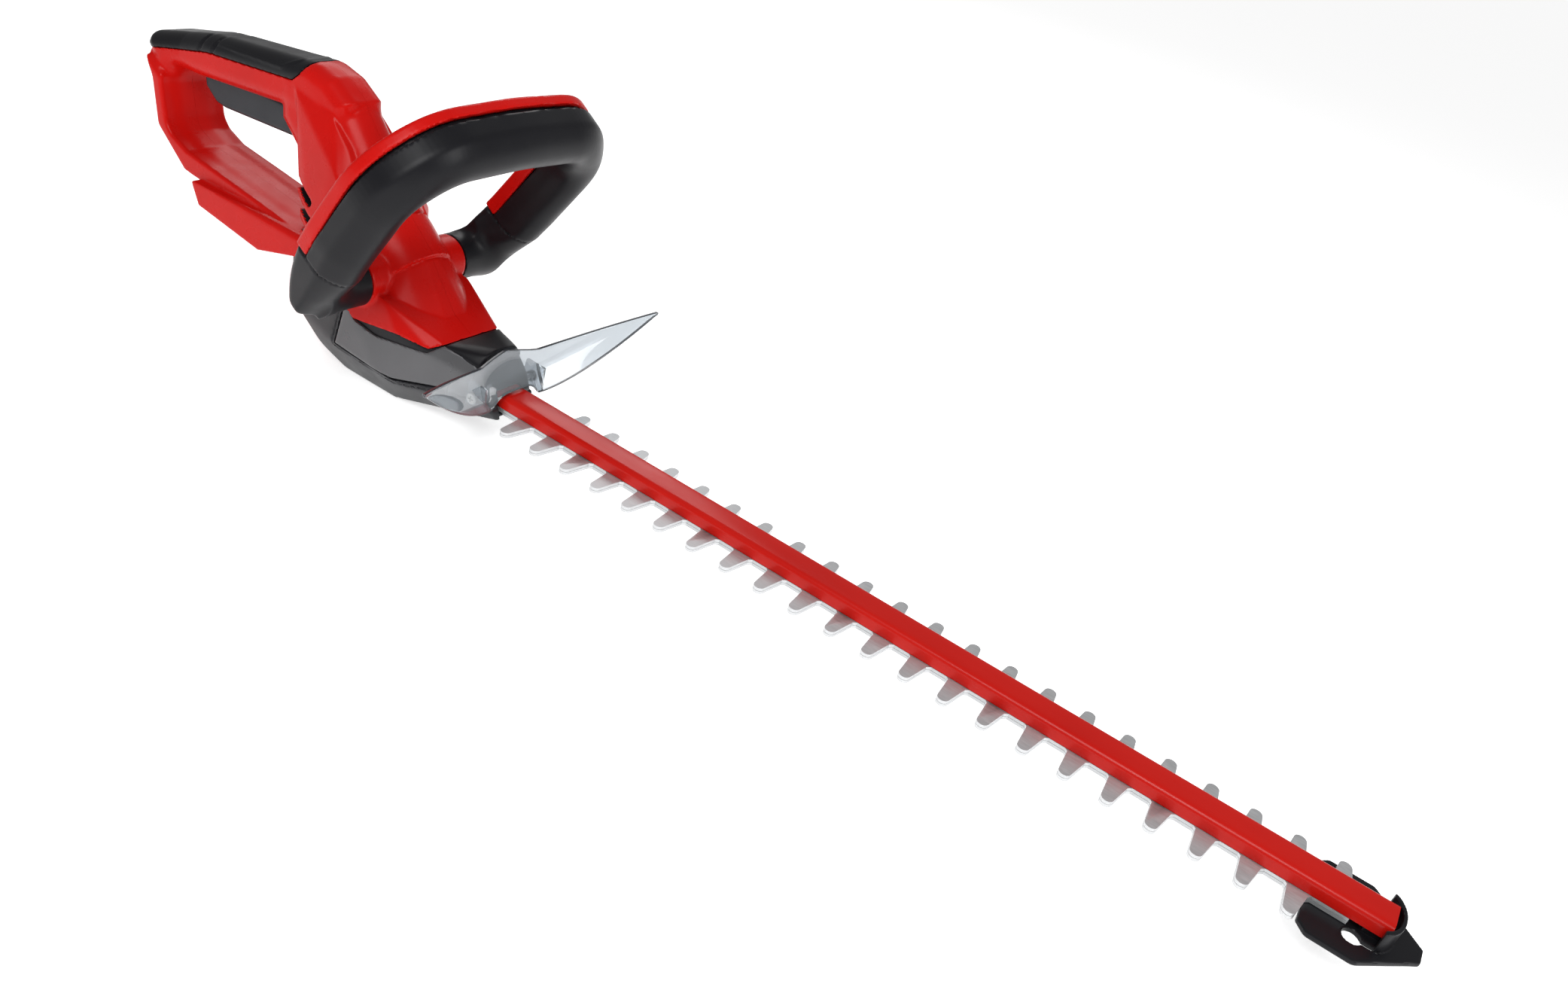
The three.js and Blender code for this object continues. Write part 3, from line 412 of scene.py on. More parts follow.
STEEL = metal("ground_steel", (0.56, 0.57, 0.58), 0.46, (0.12, 1, 1), metallic=0.6)
EDGE = metal("cut_edge_steel", (0.66, 0.67, 0.68), 0.36, (1, 0.1, 1), 1400, metallic=0.7)
MACHINED = metal("machined_steel", (0.52, 0.52, 0.54), 0.34, (1, 1, 0.1))
ZINC = metal("zinc_plate", (0.62, 0.61, 0.58), 0.30, (1, 1, 1), 400)
CASTING = metal("cast_aluminium", (0.58, 0.59, 0.60), 0.48, (1, 1, 1), 300, 0.03)
BRASS = metal("brass", (0.66, 0.45, 0.16), 0.30, (1, 1, 1), 500)
COPPER = metal("copper_winding", (0.62, 0.27, 0.13), 0.34, (0.1, 1, 1), 700)


def bar_paint():
    """Glossy red paint: flow in the coat, and a fine orange peel."""
    mat = material("bar_paint", (0.54, 0.008, 0.004), 0.24, Specular_IOR_Level=0.18)
    tint(mat, noise(mat, 25, 3, (0.3, 1, 1)), (0.48, 0.006, 0.003), (0.58, 0.011, 0.006))
    roughen(mat, noise(mat, 120, 4, (0.2, 1, 1)), 0.18, 0.30)
    grain(mat, noise(mat, 420, 2), 0.02, 0.35)
    return mat


def clear_plastic():
    """Clear polycarbonate, with a little flow in its surface."""
    mat = material("clear_polycarbonate", (0.62, 0.67, 0.71), 0.05, IOR=1.52)
    haze = spread(mat, noise(mat, 16, 3, (1, 0.35, 1)), 0.58, 0.92)
    link(mat, haze, shader_of(mat).inputs["Transmission Weight"])
    roughen(mat, noise(mat, 90, 3), 0.02, 0.07)
    grain(mat, noise(mat, 28, 2, (1, 0.4, 1)), 0.25, 0.5)
    return mat


PAINT = bar_paint()
CLEAR = clear_plastic()
CLEAR_EDGE = moulded("clear_edge", (0.045, 0.050, 0.058), 0.20, 600, 0.02, IOR=1.52)


def finish(piece, mat, body="housing", *, replaces):
    """Gives a new piece its material and its body, and hides the CAD nodes that it stands for."""
    for one in mat if isinstance(mat, (list, tuple)) else [mat]:
        piece.data.materials.append(one)
    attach(piece, body)
    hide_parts(*replaces)


# ---- Red housing ----
LOOP = corners([
    (-226, 96, 8),
    (-233, 128, 16),
    (-246, 148, 5),
    (-243, 156, 9),
    (-188, 172, 60),
    (-116, 183, 60),
    (-88, 187.5, 20),
    (-70, 184, 10),
    (-52, 174, 0),
    (-40, 70, 0),
    (-66, 62, 0),
    (-76, 62, 0),
    (-109, 51.5, 2),
    (-171, 58.5, 2),
    (-190, 68.5, 8),
])
HOLE = corners([
    (-217, 100, 12),
    (-224, 129, 8),
    (-218, 138, 6),
    (-200, 139, 3),
    (-105, 151, 4),
    (-97, 149, 5),
    (-80, 121, 3),
    (-70, 92, 5),
    (-74, 76, 12),
    (-152, 84, 40),
    (-195, 88, 14),
    (-211, 94, 8),
])
RAIL = corners([
    (-180, 74, 2),
    (-171, 58.5, 2),
    (-109, 51.5, 2),
    (-74, 62, 2),
    (-60, 62, 0),
    (-60, 78, 0),
    (-110, 77, 4),
])
# The lower edge of the red housing, from the battery stop to the collar.
RED_LINE = [(-90, 55), (-13, 55), (-4.6, 50.2), (33.3, 56), (55, 53.5), (62, 58), (130, 58)]
RED_EDGE = RED_LINE + [(130, -20), (-90, -20)]
ABOVE_RED_EDGE = RED_LINE + [(130, 200), (-90, 200)]
COLUMN = hull([
    (-98, 17, 171),
    (-95, 20, 167),
    (-78, 20, 157.5),
    (-61, 19.5, 164),
    (-42.5, 21, 148.5),
    (-78, 26, 110),
    (-42.5, 31, 134),
    (-66, 31, 62),
    (-50, 37, 62),
    (-20, 37, 62),
    (-20, 33, 110),
    (-9, 22, 108),
])
BULGE = hull([
    (-10, 30, 90),
    (9, 28, 84),
    (15, 19, 90.5),
    (19.5, 5, 95.5),
    (37, 19, 68),
    (42, 5, 68.5),
    (24, 31, 69),
    (-10, 34, 66),
    (20, 30, 60),
    (50, 10, 60),
])
SKIRT = hull([
    (-20, 38, 74),
    (-13, 41, 56),
    (-4.6, 41, 50.3),
    (33.3, 39.3, 56),
    (18, 37.5, 73.5),
    (55, 32.3, 53.5),
    (62, 24, 58),
    (62, 5, 58.5),
    (37, 19, 68),
    (36, 5, 70),
])
# The crest of the column seen from the side: from the grip, over the hump, and down to the motor's
# ring.
CREST_TOP = [
    (-122, 180.5),
    (-110, 182.6),
    (-98, 185.2),
    (-88, 187.3),
    (-78, 186.1),
    (-68, 182.6),
    (-58, 176.7),
    (-48, 167.4),
    (-38, 156.8),
    (-26, 143.9),
    (-14, 129.4),
    (-5, 116.4),
]
CREST = through(CREST_TOP) + [(20, 97.6), (48, 76), (48, 50), (-60, 50), (-84, 110), (-118, 140)]
RING = (-5, 116.4)
LIP = (20, 97.6)
SLOPE = (0.80, -0.60)  # the motor's axis, seen from the side
PAD_LINE = [
    (-270, 118),
    (-246, 141),
    (-238, 146.5),
    (-184, 161),
    (-101, 172.2),
    (-95, 178),
    (-90, 187),
    (-86, 215),
]
PAD_SEAT_DEPTH, PAD_THICKNESS = 3.2, 3.0
PAD_SEAT_END_X, PAD_END_X = -84, -86.5
PAD_GROOVES = ((-190, 166), (-177, 168))
PANEL = corners([(-176, 240, 0), (-176, 169.5, 3), (-112, 176.5, 4), (-99, 186, 6), (-97, 240, 0)])
# The ends of the vent slots and of the ribs between them, then each one's radius and its Y range.
VENTS = [((-82, 113), (-64, 105)), ((-86, 103), (-58, 92)), ((-91, 92.3), (-60, 82.5))]
VENT_ROD = (3.0, 5, 60)
RIBS = [((-84, 108), (-64, 99.4)), ((-89, 98), (-62, 88)), ((-94, 87), (-62, 77.5))]
RIB_ROD = (1.5, 14, 25.5)
RIB_PROUD = 1.8
RED_WALL = 4.4
BATTERY_HALF = 25
SHELL_SCREWS = ((-230, 138), (-180, 78), (-118, 72), (-87, 148))
SCREW_SINK_R, SCREW_SEAT_Y = 4.2, 14.7


def louvres(x, y, z, rods, r, near, far):
    """Slanted rods across the tool, on both sides of its middle."""
    made = None
    for (ax, az), (bx, bz) in rods:
        ex, ez = bx - ax, bz - az
        t = np.clip(((x - ax) * ex + (z - az) * ez) / (ex * ex + ez * ez), 0, 1)
        across = np.hypot(x - ax - ex * t, z - az - ez * t) - r
        rod = np.maximum(across, slab(np.abs(y), near, far))
        made = rod if made is None else np.minimum(made, rod)
    return made


def pad_zone(x, z, grow):
    """Where the soft pad covers the grip: above the pad line."""
    region = PAD_LINE + [(-86, 260), (-300, 260), (-300, 118)]
    return outline(region, x, z) - grow


def grip_field(x, y, z):
    flat = smax(outline(LOOP, x, z), -outline(HOLE, x, z), 2)
    half = np.interp(x, [-246, -212], [GRIP_HALF + 4.5, GRIP_HALF])
    return extruded(flat, y, half, 11.5)


def down_slope(x, z, start):
    return (x - start[0]) * SLOPE[0] + (z - start[1]) * SLOPE[1]


def ridge_field(x, y, z):
    """The round ridge of the column, with a groove over the motor and a lip below it."""
    across = np.interp(x, [-106, -62, -40, -5, 20], [18, 19, 21, 30, 28.5])
    ridge = extruded(outline(CREST, x, z), y, across, across)
    along = down_slope(x, z, RING)
    ridge = ridge - 0.9 * np.clip(along / 0.5, 0, 1) + 1.3 * np.clip(1.3 - np.abs(along + 1.1), 0, 1)
    return smax(ridge, down_slope(x, z, LIP), 0.9)


def red_field(x, y, z):
    hole = outline(HOLE, x, z)
    loop = smax(outline(LOOP, x, z), -hole, 1.5)
    shoulder = (x + 250) * 0.52 + (z - 148.5) * 0.854
    wide = smax(extruded(loop, y, FRAME_HALF, 2.2), smin(shoulder, z - 124, 6), 5)
    grip = grip_field(x, y, z)
    roof = np.abs(y) * 0.72 + z * 0.69 - 74.5
    rail = smax(extruded(outline(RAIL, x, z), y, RAIL_HALF, 1.0), roof, 1.5)
    body = smin(smin(wide, grip, 4), rail, 1.5)
    body = smin(body, smin(convex(COLUMN, x, y, z, 1.0), ridge_field(x, y, z), 1.2), 2.0)
    body = smin(body, smin(convex(SKIRT, x, y, z, 0.8), convex(BULGE, x, y, z, 1.0), 0.8), 1.2)
    boss = np.hypot(x - BOSS_XZ[0], z - BOSS_XZ[1]) - BOSS_R
    boss = smax(boss, slab(np.abs(y), 10, BOSS_Y), 1.6)
    body = smin(body, boss, 2.5)
    ribs = louvres(x, y, z, RIBS, *RIB_ROD)
    return smin(body, smax(ribs, body - RIB_PROUD, 0.6), 1.0)


def red_with_cuts(x, y, z):
    whole = red_field(x, y, z)
    body = smax(whole, -outline(RED_EDGE, x, z), 0.8)
    # the seat of the soft pad
    grip = grip_field(x, y, z)
    seat = np.maximum(pad_zone(x, z, 0.35), -(grip + PAD_SEAT_DEPTH))
    body = np.maximum(body, -np.where(x < PAD_SEAT_END_X, seat, 10.0))
    # the battery slot between the rails, and the slot of the trigger
    slot = outline([(-260, 40), (-66, 40), (-70, 64.5), (-260, 79)], x, z)
    body = smax(body, -np.maximum(slot, np.abs(y) - BATTERY_HALF), 1)
    sides = np.maximum(slab(z, 118, 158), np.abs(y) - TRIGGER_HALF - 0.5)
    body = smax(body, -np.maximum(slab(x, -207, -100.5), sides), 1.0)
    # the space inside, for the motor and the gears
    room = np.maximum(slab(x, -58, 57), z - 190)
    body = np.maximum(body, -np.maximum(room, whole + RED_WALL))
    for vent in VENTS:
        body = smax(body, -louvres(x, y, z, [vent], *VENT_ROD), 0.8)
    # the sinks of the screws that hold the two shells together
    for sx, sz in SHELL_SCREWS:
        sink = np.maximum(np.hypot(x - sx, z - sz) - SCREW_SINK_R, SCREW_SEAT_Y - y)
        body = smax(body, -sink, 0.8)
    return body


def make_housing():
    cell = 1.15
    whole = sculpt("red_whole", red_with_cuts, (-248, -43, 48), (80, 43, 190), cell)
    # painted shade: faces deep inside the vent slots get the black material, which stands in for the
    # shade in the slots
    x, y, z = np.array([face.center for face in whole.data.polygons]).T / MM
    deep = red_field(x, y, z) < -0.9
    slots = louvres(x, y, z, VENTS, *VENT_ROD) < 0.3
    whole.data.polygons.foreach_set("material_index", (deep & slots).astype(np.int32))
    for side, name in ((1, "housing_left"), (-1, "housing_right")):
        shell = half_of(whole, name + "_shell", side, SEAM)
        # the black material on these red shells is only the painted shade inside the vents
        finish(shell, [RED, BLACK], replaces=[name])
    bpy.data.objects.remove(whole)


def pad_field(x, y, z):
    grip = grip_field(x, y, z)
    first, second = (np.abs((x - gx) * 0.97 - (z - gz) * 0.25) for gx, gz in PAD_GROOVES)
    groove = np.minimum(first, second) - 0.7
    panel = outline(PANEL, x, z)
    raised = 0.3 * np.clip(-panel / 0.8, 0, 1) + 0.4 * np.clip(1.4 - np.abs(panel), 0, 1)
    outer = grip - 0.15 - raised + 0.8 * np.clip(1.0 - groove, 0, 1)
    pad = smax(outer, pad_zone(x, z, -0.15), 1.0)
    pad = np.maximum(pad, -(grip + PAD_THICKNESS))
    return smax(pad, x - PAD_END_X, 0.5)


def make_pad():
    pad = sculpt("grip_soft_pad", pad_field, (-248, -20, 138), (-84, 20, 190), 1.0)
    finish(pad, BLACK, replaces=["grip_pad"])


# ---- Front bail handle ----
LEAN_SIN, LEAN_COS = math.sin(BAIL_LEAN), math.cos(BAIL_LEAN)


def bail_frame(x, z):
    """Up along the leaning plane, and ahead of it."""
    dx, dz = x - BAIL_ORIGIN[0], z - BAIL_ORIGIN[1]
    return dx * LEAN_SIN + dz * LEAN_COS, dx * LEAN_COS - dz * LEAN_SIN


OUTER_HALF = [(91, -11, 5), (99, 52, 90), (100.5, 116, 58), (66, 151, 60), (0, 155, 200)]
BAIL_OUTER = corners(OUTER_HALF + [(-y, up, r) for y, up, r in OUTER_HALF[-2::-1]], 12)
BAIL_SIDES = [(86, -60)] + BAIL_OUTER[12:-12] + [(-86, -60)]
BAIL_INNER = corners([(-62, 15, 30), (62, 15, 30), (67, 119, 34), (-67, 119, 34)], 14)
SLEEVE_UP, SLEEVE_N = -3.4, -3.7
SLEEVE_R, SLEEVE_END_Y = 16.4, 74
SLEEVE_START_Y = BOSS_Y + 0.35
LEG_TOP_UP, LEG_INNER_Y = 60, 56
HANDLE_BACK_DEPTH = 18.3
BAR_SEAT_N, BAR_FRONT_N, BAR_FLOOR_N, BAR_BACK_N = -8.6, -9.1, -16.4, -19.2
BAR_WALL = 3.0
TONGUE_INSET, HOLLOW_INSET = 3.9, 7
SEAM_GROOVE_HALF, SEAM_GROOVE_DEPTH = 0.4, 0.9
CREASE_N = 4.0
CROWN_N = 17.5
CROWN_DEPTH = 17.0


def bail_walls(y, up):
    return outline(BAIL_OUTER, y, up), outline(BAIL_INNER, y, up)


def bail_front(y, up, n):
    """The front face, from the crease at the outer wall up to its crown, and down to the inner wall."""
    crown = np.interp(up, [-12, 8, 36], [8.5, 12.5, CROWN_N])
    off = (-outline(BAIL_SIDES, y, up) - CROWN_DEPTH) / CROWN_DEPTH
    rise = np.where(off < 0, crown - CREASE_N, 12.0)
    fall = rise * np.abs(off) ** 2.2
    slope = rise * 2.2 * np.abs(off) ** 1.2 / CROWN_DEPTH
    return (n - crown + fall) / np.sqrt(1 + slope**2)


def bail_back(up, n, depth):
    """The back, which comes forward below the seam."""
    low = smax(-0.224 * (up - 24) - 0.975 * (n + 17.5), -0.58 * up - 0.81 * (n + 12), 6)
    return smax(-(n + depth), low, 3)


def handle_field(x, y, z):
    up, n = bail_frame(x, z)
    outer, inner = bail_walls(y, up)
    walls = np.maximum(outer, -inner)
    tube = smax(smax(outer, bail_front(y, up, n), 1.4), -inner, 7)
    tube = smax(tube, bail_back(up, n, HANDLE_BACK_DEPTH), 5)
    # below the arch: two legs, and the sleeves that join them to the bosses
    leg = np.maximum(tube, np.where(up < LEG_TOP_UP, LEG_INNER_Y - np.abs(y), -100.0))
    round_sleeve = np.hypot(up - SLEEVE_UP, n - SLEEVE_N) - SLEEVE_R
    sleeve = smax(round_sleeve, slab(np.abs(y), SLEEVE_START_Y, SLEEVE_END_Y), 0.8)
    made = smin(leg, sleeve, 9)
    made = np.where(up < LEG_TOP_UP, smax(made, SLEEVE_START_Y - np.abs(y), 0.6), made)
    # above the seam: room for the bar, the tongue inside it, the hollow, and the seam's groove
    above = SEAM_UP + 0.3 - up
    made = smax(made, -np.maximum(n - BAR_SEAT_N, above), 0.5)
    tongue = np.maximum(np.maximum(walls + TONGUE_INSET, slab(n, -12.5, 4)), SEAM_UP + 2 - up)
    made = np.minimum(made, tongue)
    hollow = np.maximum(np.maximum(walls + HOLLOW_INSET, n - 9), SEAM_UP + 5 - up)
    made = np.maximum(made, -hollow)
    groove = np.maximum(np.abs(up - SEAM_UP) - SEAM_GROOVE_HALF, -tube - SEAM_GROOVE_DEPTH)
    return np.maximum(made, -groove)


def switch_bar_field(x, y, z):
    """The red bar: the handle's outline carried back, hollow from the front."""
    up, n = bail_frame(x, z)
    outer, inner = bail_walls(y, up)
    walls = np.maximum(outer, -inner)
    front = n - BAR_FRONT_N + 0.0262 * np.maximum(up - 41, 0)
    shell = smax(smax(outer, -inner, 3), -(n - BAR_BACK_N), 2.0)
    shell = smax(shell, smax(front, SEAM_UP + 1.0 - up, 0.6), 0.9)
    return smax(shell, -np.maximum(walls + BAR_WALL, -(n - BAR_FLOOR_N)), 0.6)


def make_bail():
    cell = 1.2
    handle = sculpt("front_handle_shell", handle_field, (-22, -101, 54), (98, 101, 222), cell)
    finish(handle, BLACK, replaces=["front_handle"])
    bar = sculpt("safety_bar", switch_bar_field, (-22, -101, 70), (90, 101, 222), cell)
    finish(bar, RED, "safety_switch_bar", replaces=["safety_switch_bar"])


# ---- Grey shell, tray and collar ----
TRAY_HULL = hull([
    (-66, 33, 62),
    (-66, 34, 32),
    (-40, 33, 13),
    (-22, 26, 0),
    (26, 24, 0),
    (64, 20, 14.5),
    (106, 15, 20.5),
    (102, 22, 31),
    (66, 31, 30),
    (34, 40, 22.5),
    (-19, 41.5, 25),
    (-12, 41, 54),
])
SHELL_HULL = hull([
    (-19, 41.5, 25),
    (29.5, 40.5, 22.5),
    (14.4, 38.5, 46),
    (66, 31, 31),
    (102, 19, 31),
    (96, 19.5, 42),
    (83, 20, 54.5),
    (62.6, 26, 57.5),
    (54, 32.5, 50.5),
    (-8, 41, 55),
    (-14, 41, 55),
])
COLLAR_HULL = hull([
    (61, 26, 53),
    (62, 25.5, 57.8),
    (63, 5, 59),
    (89, 5, 62.5),
    (89, 14, 60),
    (84, 20.3, 55),
    (88, 19.5, 52),
])
LINER_HULL = hull([
    (-14, 41, 56),
    (-5, 41, 48),
    (14, 39, 42),
    (33, 39.3, 57),
    (56, 32.3, 52),
    (56, 32.3, 46),
    (62, 26, 58),
    (62, 27, 48),
])
BASE_WALL = 3
# The line where the grey shell meets the tray.
PARTING = [(-14, 90), (-14, 54), (-19, 25), (34, 22.5), (66, 30), (130, 31)]
ABOVE_PARTING = PARTING + [(130, 90)]
# The top edge of the grey shell. It dips below the red edge, and the black liner shows between them.
SHELL_TOP = [
    (-30, 56),
    (-8, 54),
    (-3, 49.8),
    (14.4, 46),
    (54, 50.3),
    (62.3, 57.8),
    (130, 57.8),
    (130, 200),
    (-30, 200),
]


def nose_slot(x, y, z):
    """Room for the blades and the bar where they leave the base."""
    blades = np.maximum(np.abs(y) - 12, slab(z, 20.2, 30.5))
    bar = np.maximum(np.abs(y) - BAR_ROOM, slab(z, 27, 37.9))
    return np.maximum(np.minimum(blades, bar), 56 - x)


def tray_field(x, y, z):
    whole = convex(TRAY_HULL, x, y, z, 1.6)
    above = outline(ABOVE_PARTING, x, z)
    body = smax(smax(whole, -above, 0.6), -outline(ABOVE_RED_EDGE, x, z), 0.6)
    lip = np.maximum(np.abs(above - 2.2) - 0.45, -whole - 0.8)
    body = np.maximum(body, -lip)
    inside = np.maximum(np.maximum(whole + BASE_WALL, 2.5 - z), x - 84)
    body = np.maximum(body, -inside)
    foot = smax(slab(x, -22, 26), smax(slab(z, 0, 4), np.abs(y) - 24, 1), 1)
    body = smin(body, foot, 0.8)
    return np.maximum(body, -nose_slot(x, y, z))


def shell_field(x, y, z):
    whole = convex(SHELL_HULL, x, y, z, 0.7)
    above = outline(ABOVE_PARTING, x, z)
    rim = smax(whole, above + 0.3, 2.6)
    body = smax(rim, -outline(SHELL_TOP, x, z), 0.5)
    body = np.maximum(body, -np.maximum(whole + BASE_WALL, x - 84))
    return np.maximum(body, -nose_slot(x, y, z))


def collar_field(x, y, z):
    whole = convex(COLLAR_HULL, x, y, z, 1.2)
    collar = np.maximum(whole, -np.maximum(whole + BASE_WALL, x - 86))
    collar = np.maximum(collar, -(convex(SKIRT, x - 0.4, y, z, 0.8) - 0.3))
    band = convex(LINER_HULL, x, y, z, 0.8) + 1.6
    liner = np.maximum(np.maximum(band, -(band + 1.6)), -outline(ABOVE_RED_EDGE, x, z))
    liner = np.maximum(np.maximum(liner, slab(x, -8, 62)), 42 - z)
    return np.minimum(collar, liner)


def make_base():
    tray = sculpt("bottom_tray_shell", tray_field, (-66, -43, 0), (108, 43, 62), 1.1)
    finish(tray, TRAY, replaces=["bottom_tray"])
    shell = sculpt("grey_base_shell", shell_field, (-20, -43, 22), (104, 43, 60), 1.0)
    finish(shell, GREY, replaces=["base_shell"])
    collar = sculpt("collar", collar_field, (-10, -42, 42), (92, 42, 66), 0.9)
    finish(collar, BLACK, replaces=["blade_collar"])


# ---- Trigger ----
TRIGGER_LINE = corners([
    (-198, 148, 4),
    (-193, 151.4, 5),
    (-198.5, 141, 3),
    (-197, 133, 4),
    (-186, 125.2, 8),
    (-177, 124.2, 10),
    (-108, 130.2, 6),
    (-103.2, 135, 3),
    (-103.2, 148.5, 1),
    (-108, 150.5, 1),
])


def make_trigger():
    def field(x, y, z):
        flat = outline(TRIGGER_LINE, x, z)
        body = extruded(flat, y, TRIGGER_HALF, 3.2)
        return np.maximum(body, -(np.hypot(x - TRIGGER_PIVOT[0], z - TRIGGER_PIVOT[1]) - 1.7))

    trigger = sculpt("trigger_lever", field, (-200, -10, 122), (-102, 10, 153), 0.9)
    finish(trigger, TRIGGER, "trigger", replaces=["trigger"])


# ---- Cutting blades ----
EYE_HALF = 12.9
EYE_SHORT, EYE_LONG = 12, 18.25
EYE_FRAME = 5
SCREW_SLOT_R, SCREW_SLOT_TRAVEL = 3.0, 6.85


def tooth_side(start, sign, root):
    """One side's outline from the rear: each tooth tapers to a round tip."""
    made = []
    for i in range(TOOTH_COUNT):
        x = start + i * TOOTH_PITCH
        tooth = [(-6.8, root), (-5.3, root + 1.5), (-3.95, TOOTH_REACH - 3.9)]
        for s in np.linspace(0.06, 0.94, 8):
            across, out = TOOTH_TIP_R * math.cos(math.pi * s), TOOTH_TIP_R * math.sin(math.pi * s)
            tooth.append((-0.3 - across, TOOTH_REACH - TOOTH_TIP_R + out))
        tooth += [(3.4, TOOTH_REACH - 3.9), (5.9, root + 2.0), (8.0, root)]
        made += [(x + dx, sign * y) for dx, y in tooth]
    return made


def blade_outline():
    """The blade ahead of its cam window: a neck, then the teeth on both sides."""
    root = TOOTH_ROOT
    line = [(GEAR_X + 14, -9), (104, -9), (106, -root)]
    line += tooth_side(FIRST_TOOTH_X, -1, root)
    line += [(677, -root), (677, root)]
    line += tooth_side(FIRST_TOOTH_X + FAR_SIDE_LAG, 1, root)[::-1]
    line += [(106, root), (104, 9), (GEAR_X + 14, 9)]
    return line


def make_blade(node, name, body, bevel_up):
    low, high = (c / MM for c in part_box(node))
    z0, z1 = low.z, high.z
    bm = bmesh.new()
    bm.faces.new([bm.verts.new((x, y, z0)) for x, y in blade_outline()])
    bm.normal_update()
    bmesh.ops.triangulate(bm, faces=bm.faces[:], ngon_method="EAR_CLIP")
    flat = bmesh.ops.extrude_face_region(bm, geom=bm.faces[:])
    raised = [v for v in flat["geom"] if isinstance(v, bmesh.types.BMVert)]
    for v in raised:
        v.co.z = z1
    bmesh.ops.recalc_face_normals(bm, faces=bm.faces[:])
    # ground bevels round the teeth, on the face away from the other blade
    top = z1 if bevel_up else z0
    rim = [
        e for e in bm.edges
        if all(abs(v.co.z - top) < 1e-4 and abs(v.co.y) > TOOTH_ROOT - 0.1 for v in e.verts)
        and len(e.link_faces) == 2 and e.calc_face_angle(0) > 1.0
    ]
    bmesh.ops.bevel(bm, geom=rim, offset=1.35, segments=1, affect="EDGES", clamp_overlap=True)
    for face in bm.faces:
        on_tooth = abs(face.calc_center_median().y) > TOOTH_ROOT + 0.1
        face.material_index = 1 if abs(face.normal.z) < 0.95 and on_tooth else 0
    bm.transform(Matrix.Scale(MM, 4))
    mesh = bpy.data.meshes.new(name)
    bm.to_mesh(mesh)
    bm.free()
    blade = place(name, mesh)
    smooth(blade, 25)
    cam_eye(blade, 1 if bevel_up else -1, z0, z1)
    finish(blade, [STEEL, EDGE], body, replaces=[node])


def cam_eye(blade, side, z0, z1):
    """The window that the drive cam works in, at the rear of the blade, and the slots of the screws."""
    rear, front = GEAR_X - EYE_HALF, GEAR_X + EYE_HALF
    right, left = (-EYE_SHORT, EYE_LONG) if side > 0 else (-EYE_LONG, EYE_SHORT)
    eye = box_mesh((rear - EYE_FRAME, front + 8), (right - EYE_FRAME, left + EYE_FRAME), (z0, z1))
    boolean(blade, eye, "UNION")
    window = box_mesh((rear, front), (right, left), (z0 - 1, z1 + 1))
    boolean(blade, window, "DIFFERENCE")
    for x in SCREW_XS:
        slot = slot_mesh(x, SCREW_SLOT_R, SCREW_SLOT_TRAVEL, z0 - 1, z1 + 1)
        boolean(blade, slot, "DIFFERENCE")


def box_mesh(x, y, z):
    co = [(a, b, c) for a in x for b in y for c in z]
    faces = [(0, 1, 3, 2), (4, 6, 7, 5), (0, 4, 5, 1), (2, 3, 7, 6), (0, 2, 6, 4), (1, 5, 7, 3)]
    return tidy(mesh_object("cutter", co, faces))


def slot_mesh(x, r, travel, z0, z1):
    turn = np.linspace(-math.pi / 2, math.pi / 2, 9)
    ring = [(x + travel + r * math.cos(a), r * math.sin(a)) for a in turn]
    ring += [(x - travel - r * math.cos(a), -r * math.sin(a)) for a in turn]
    co = [(u, v, z) for z in (z0, z1) for u, v in ring]
    n = len(ring)
    faces = [tuple(range(n)), tuple(range(n, 2 * n))]
    faces += [(i, (i + 1) % n, n + (i + 1) % n, n + i) for i in range(n)]
    return tidy(mesh_object("cutter", co, faces))


def boolean(piece, other, operation):
    """Joins or cuts with another closed mesh, which is then removed."""
    step = piece.modifiers.new("step", "BOOLEAN")
    step.operation, step.object, step.solver = operation, other, "EXACT"
    shape = bpy.data.meshes.new_from_object(piece.evaluated_get(bpy.context.evaluated_depsgraph_get()))
    piece.modifiers.clear()
    piece.data = shape
    bpy.data.objects.remove(other)


# ---- Blade bar and tip guard ----
def make_bar():
    low, high = (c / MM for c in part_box("blade_bar"))
    half = high.y
    rim = [(half, low.z), (half, high.z - 3.6)]
    turn = np.linspace(0.1, math.pi / 2, 7)
    curve = [(half - 3.4 + 3.4 * math.cos(a), high.z - 3.5 + 3.4 * math.sin(a)) for a in turn]
    crown = [(half * s, high.z - 0.1 + 0.1 * (1 - s * s)) for s in (0.5, 0.25, 0)]
    right = rim + curve + crown
    section = right + [(-y, z) for y, z in right[::-1][1:]]
    groove = [(-6, low.z), (-6, low.z + 1.2), (6, low.z + 1.2), (6, low.z)]
    bar = bar_of("blade_bar_painted", section + groove, np.linspace(low.x, high.x, 40))
    finish(bar, PAINT, replaces=["blade_bar"])


KEYHOLE_X, KEYHOLE_Y = 681.5, 15.5


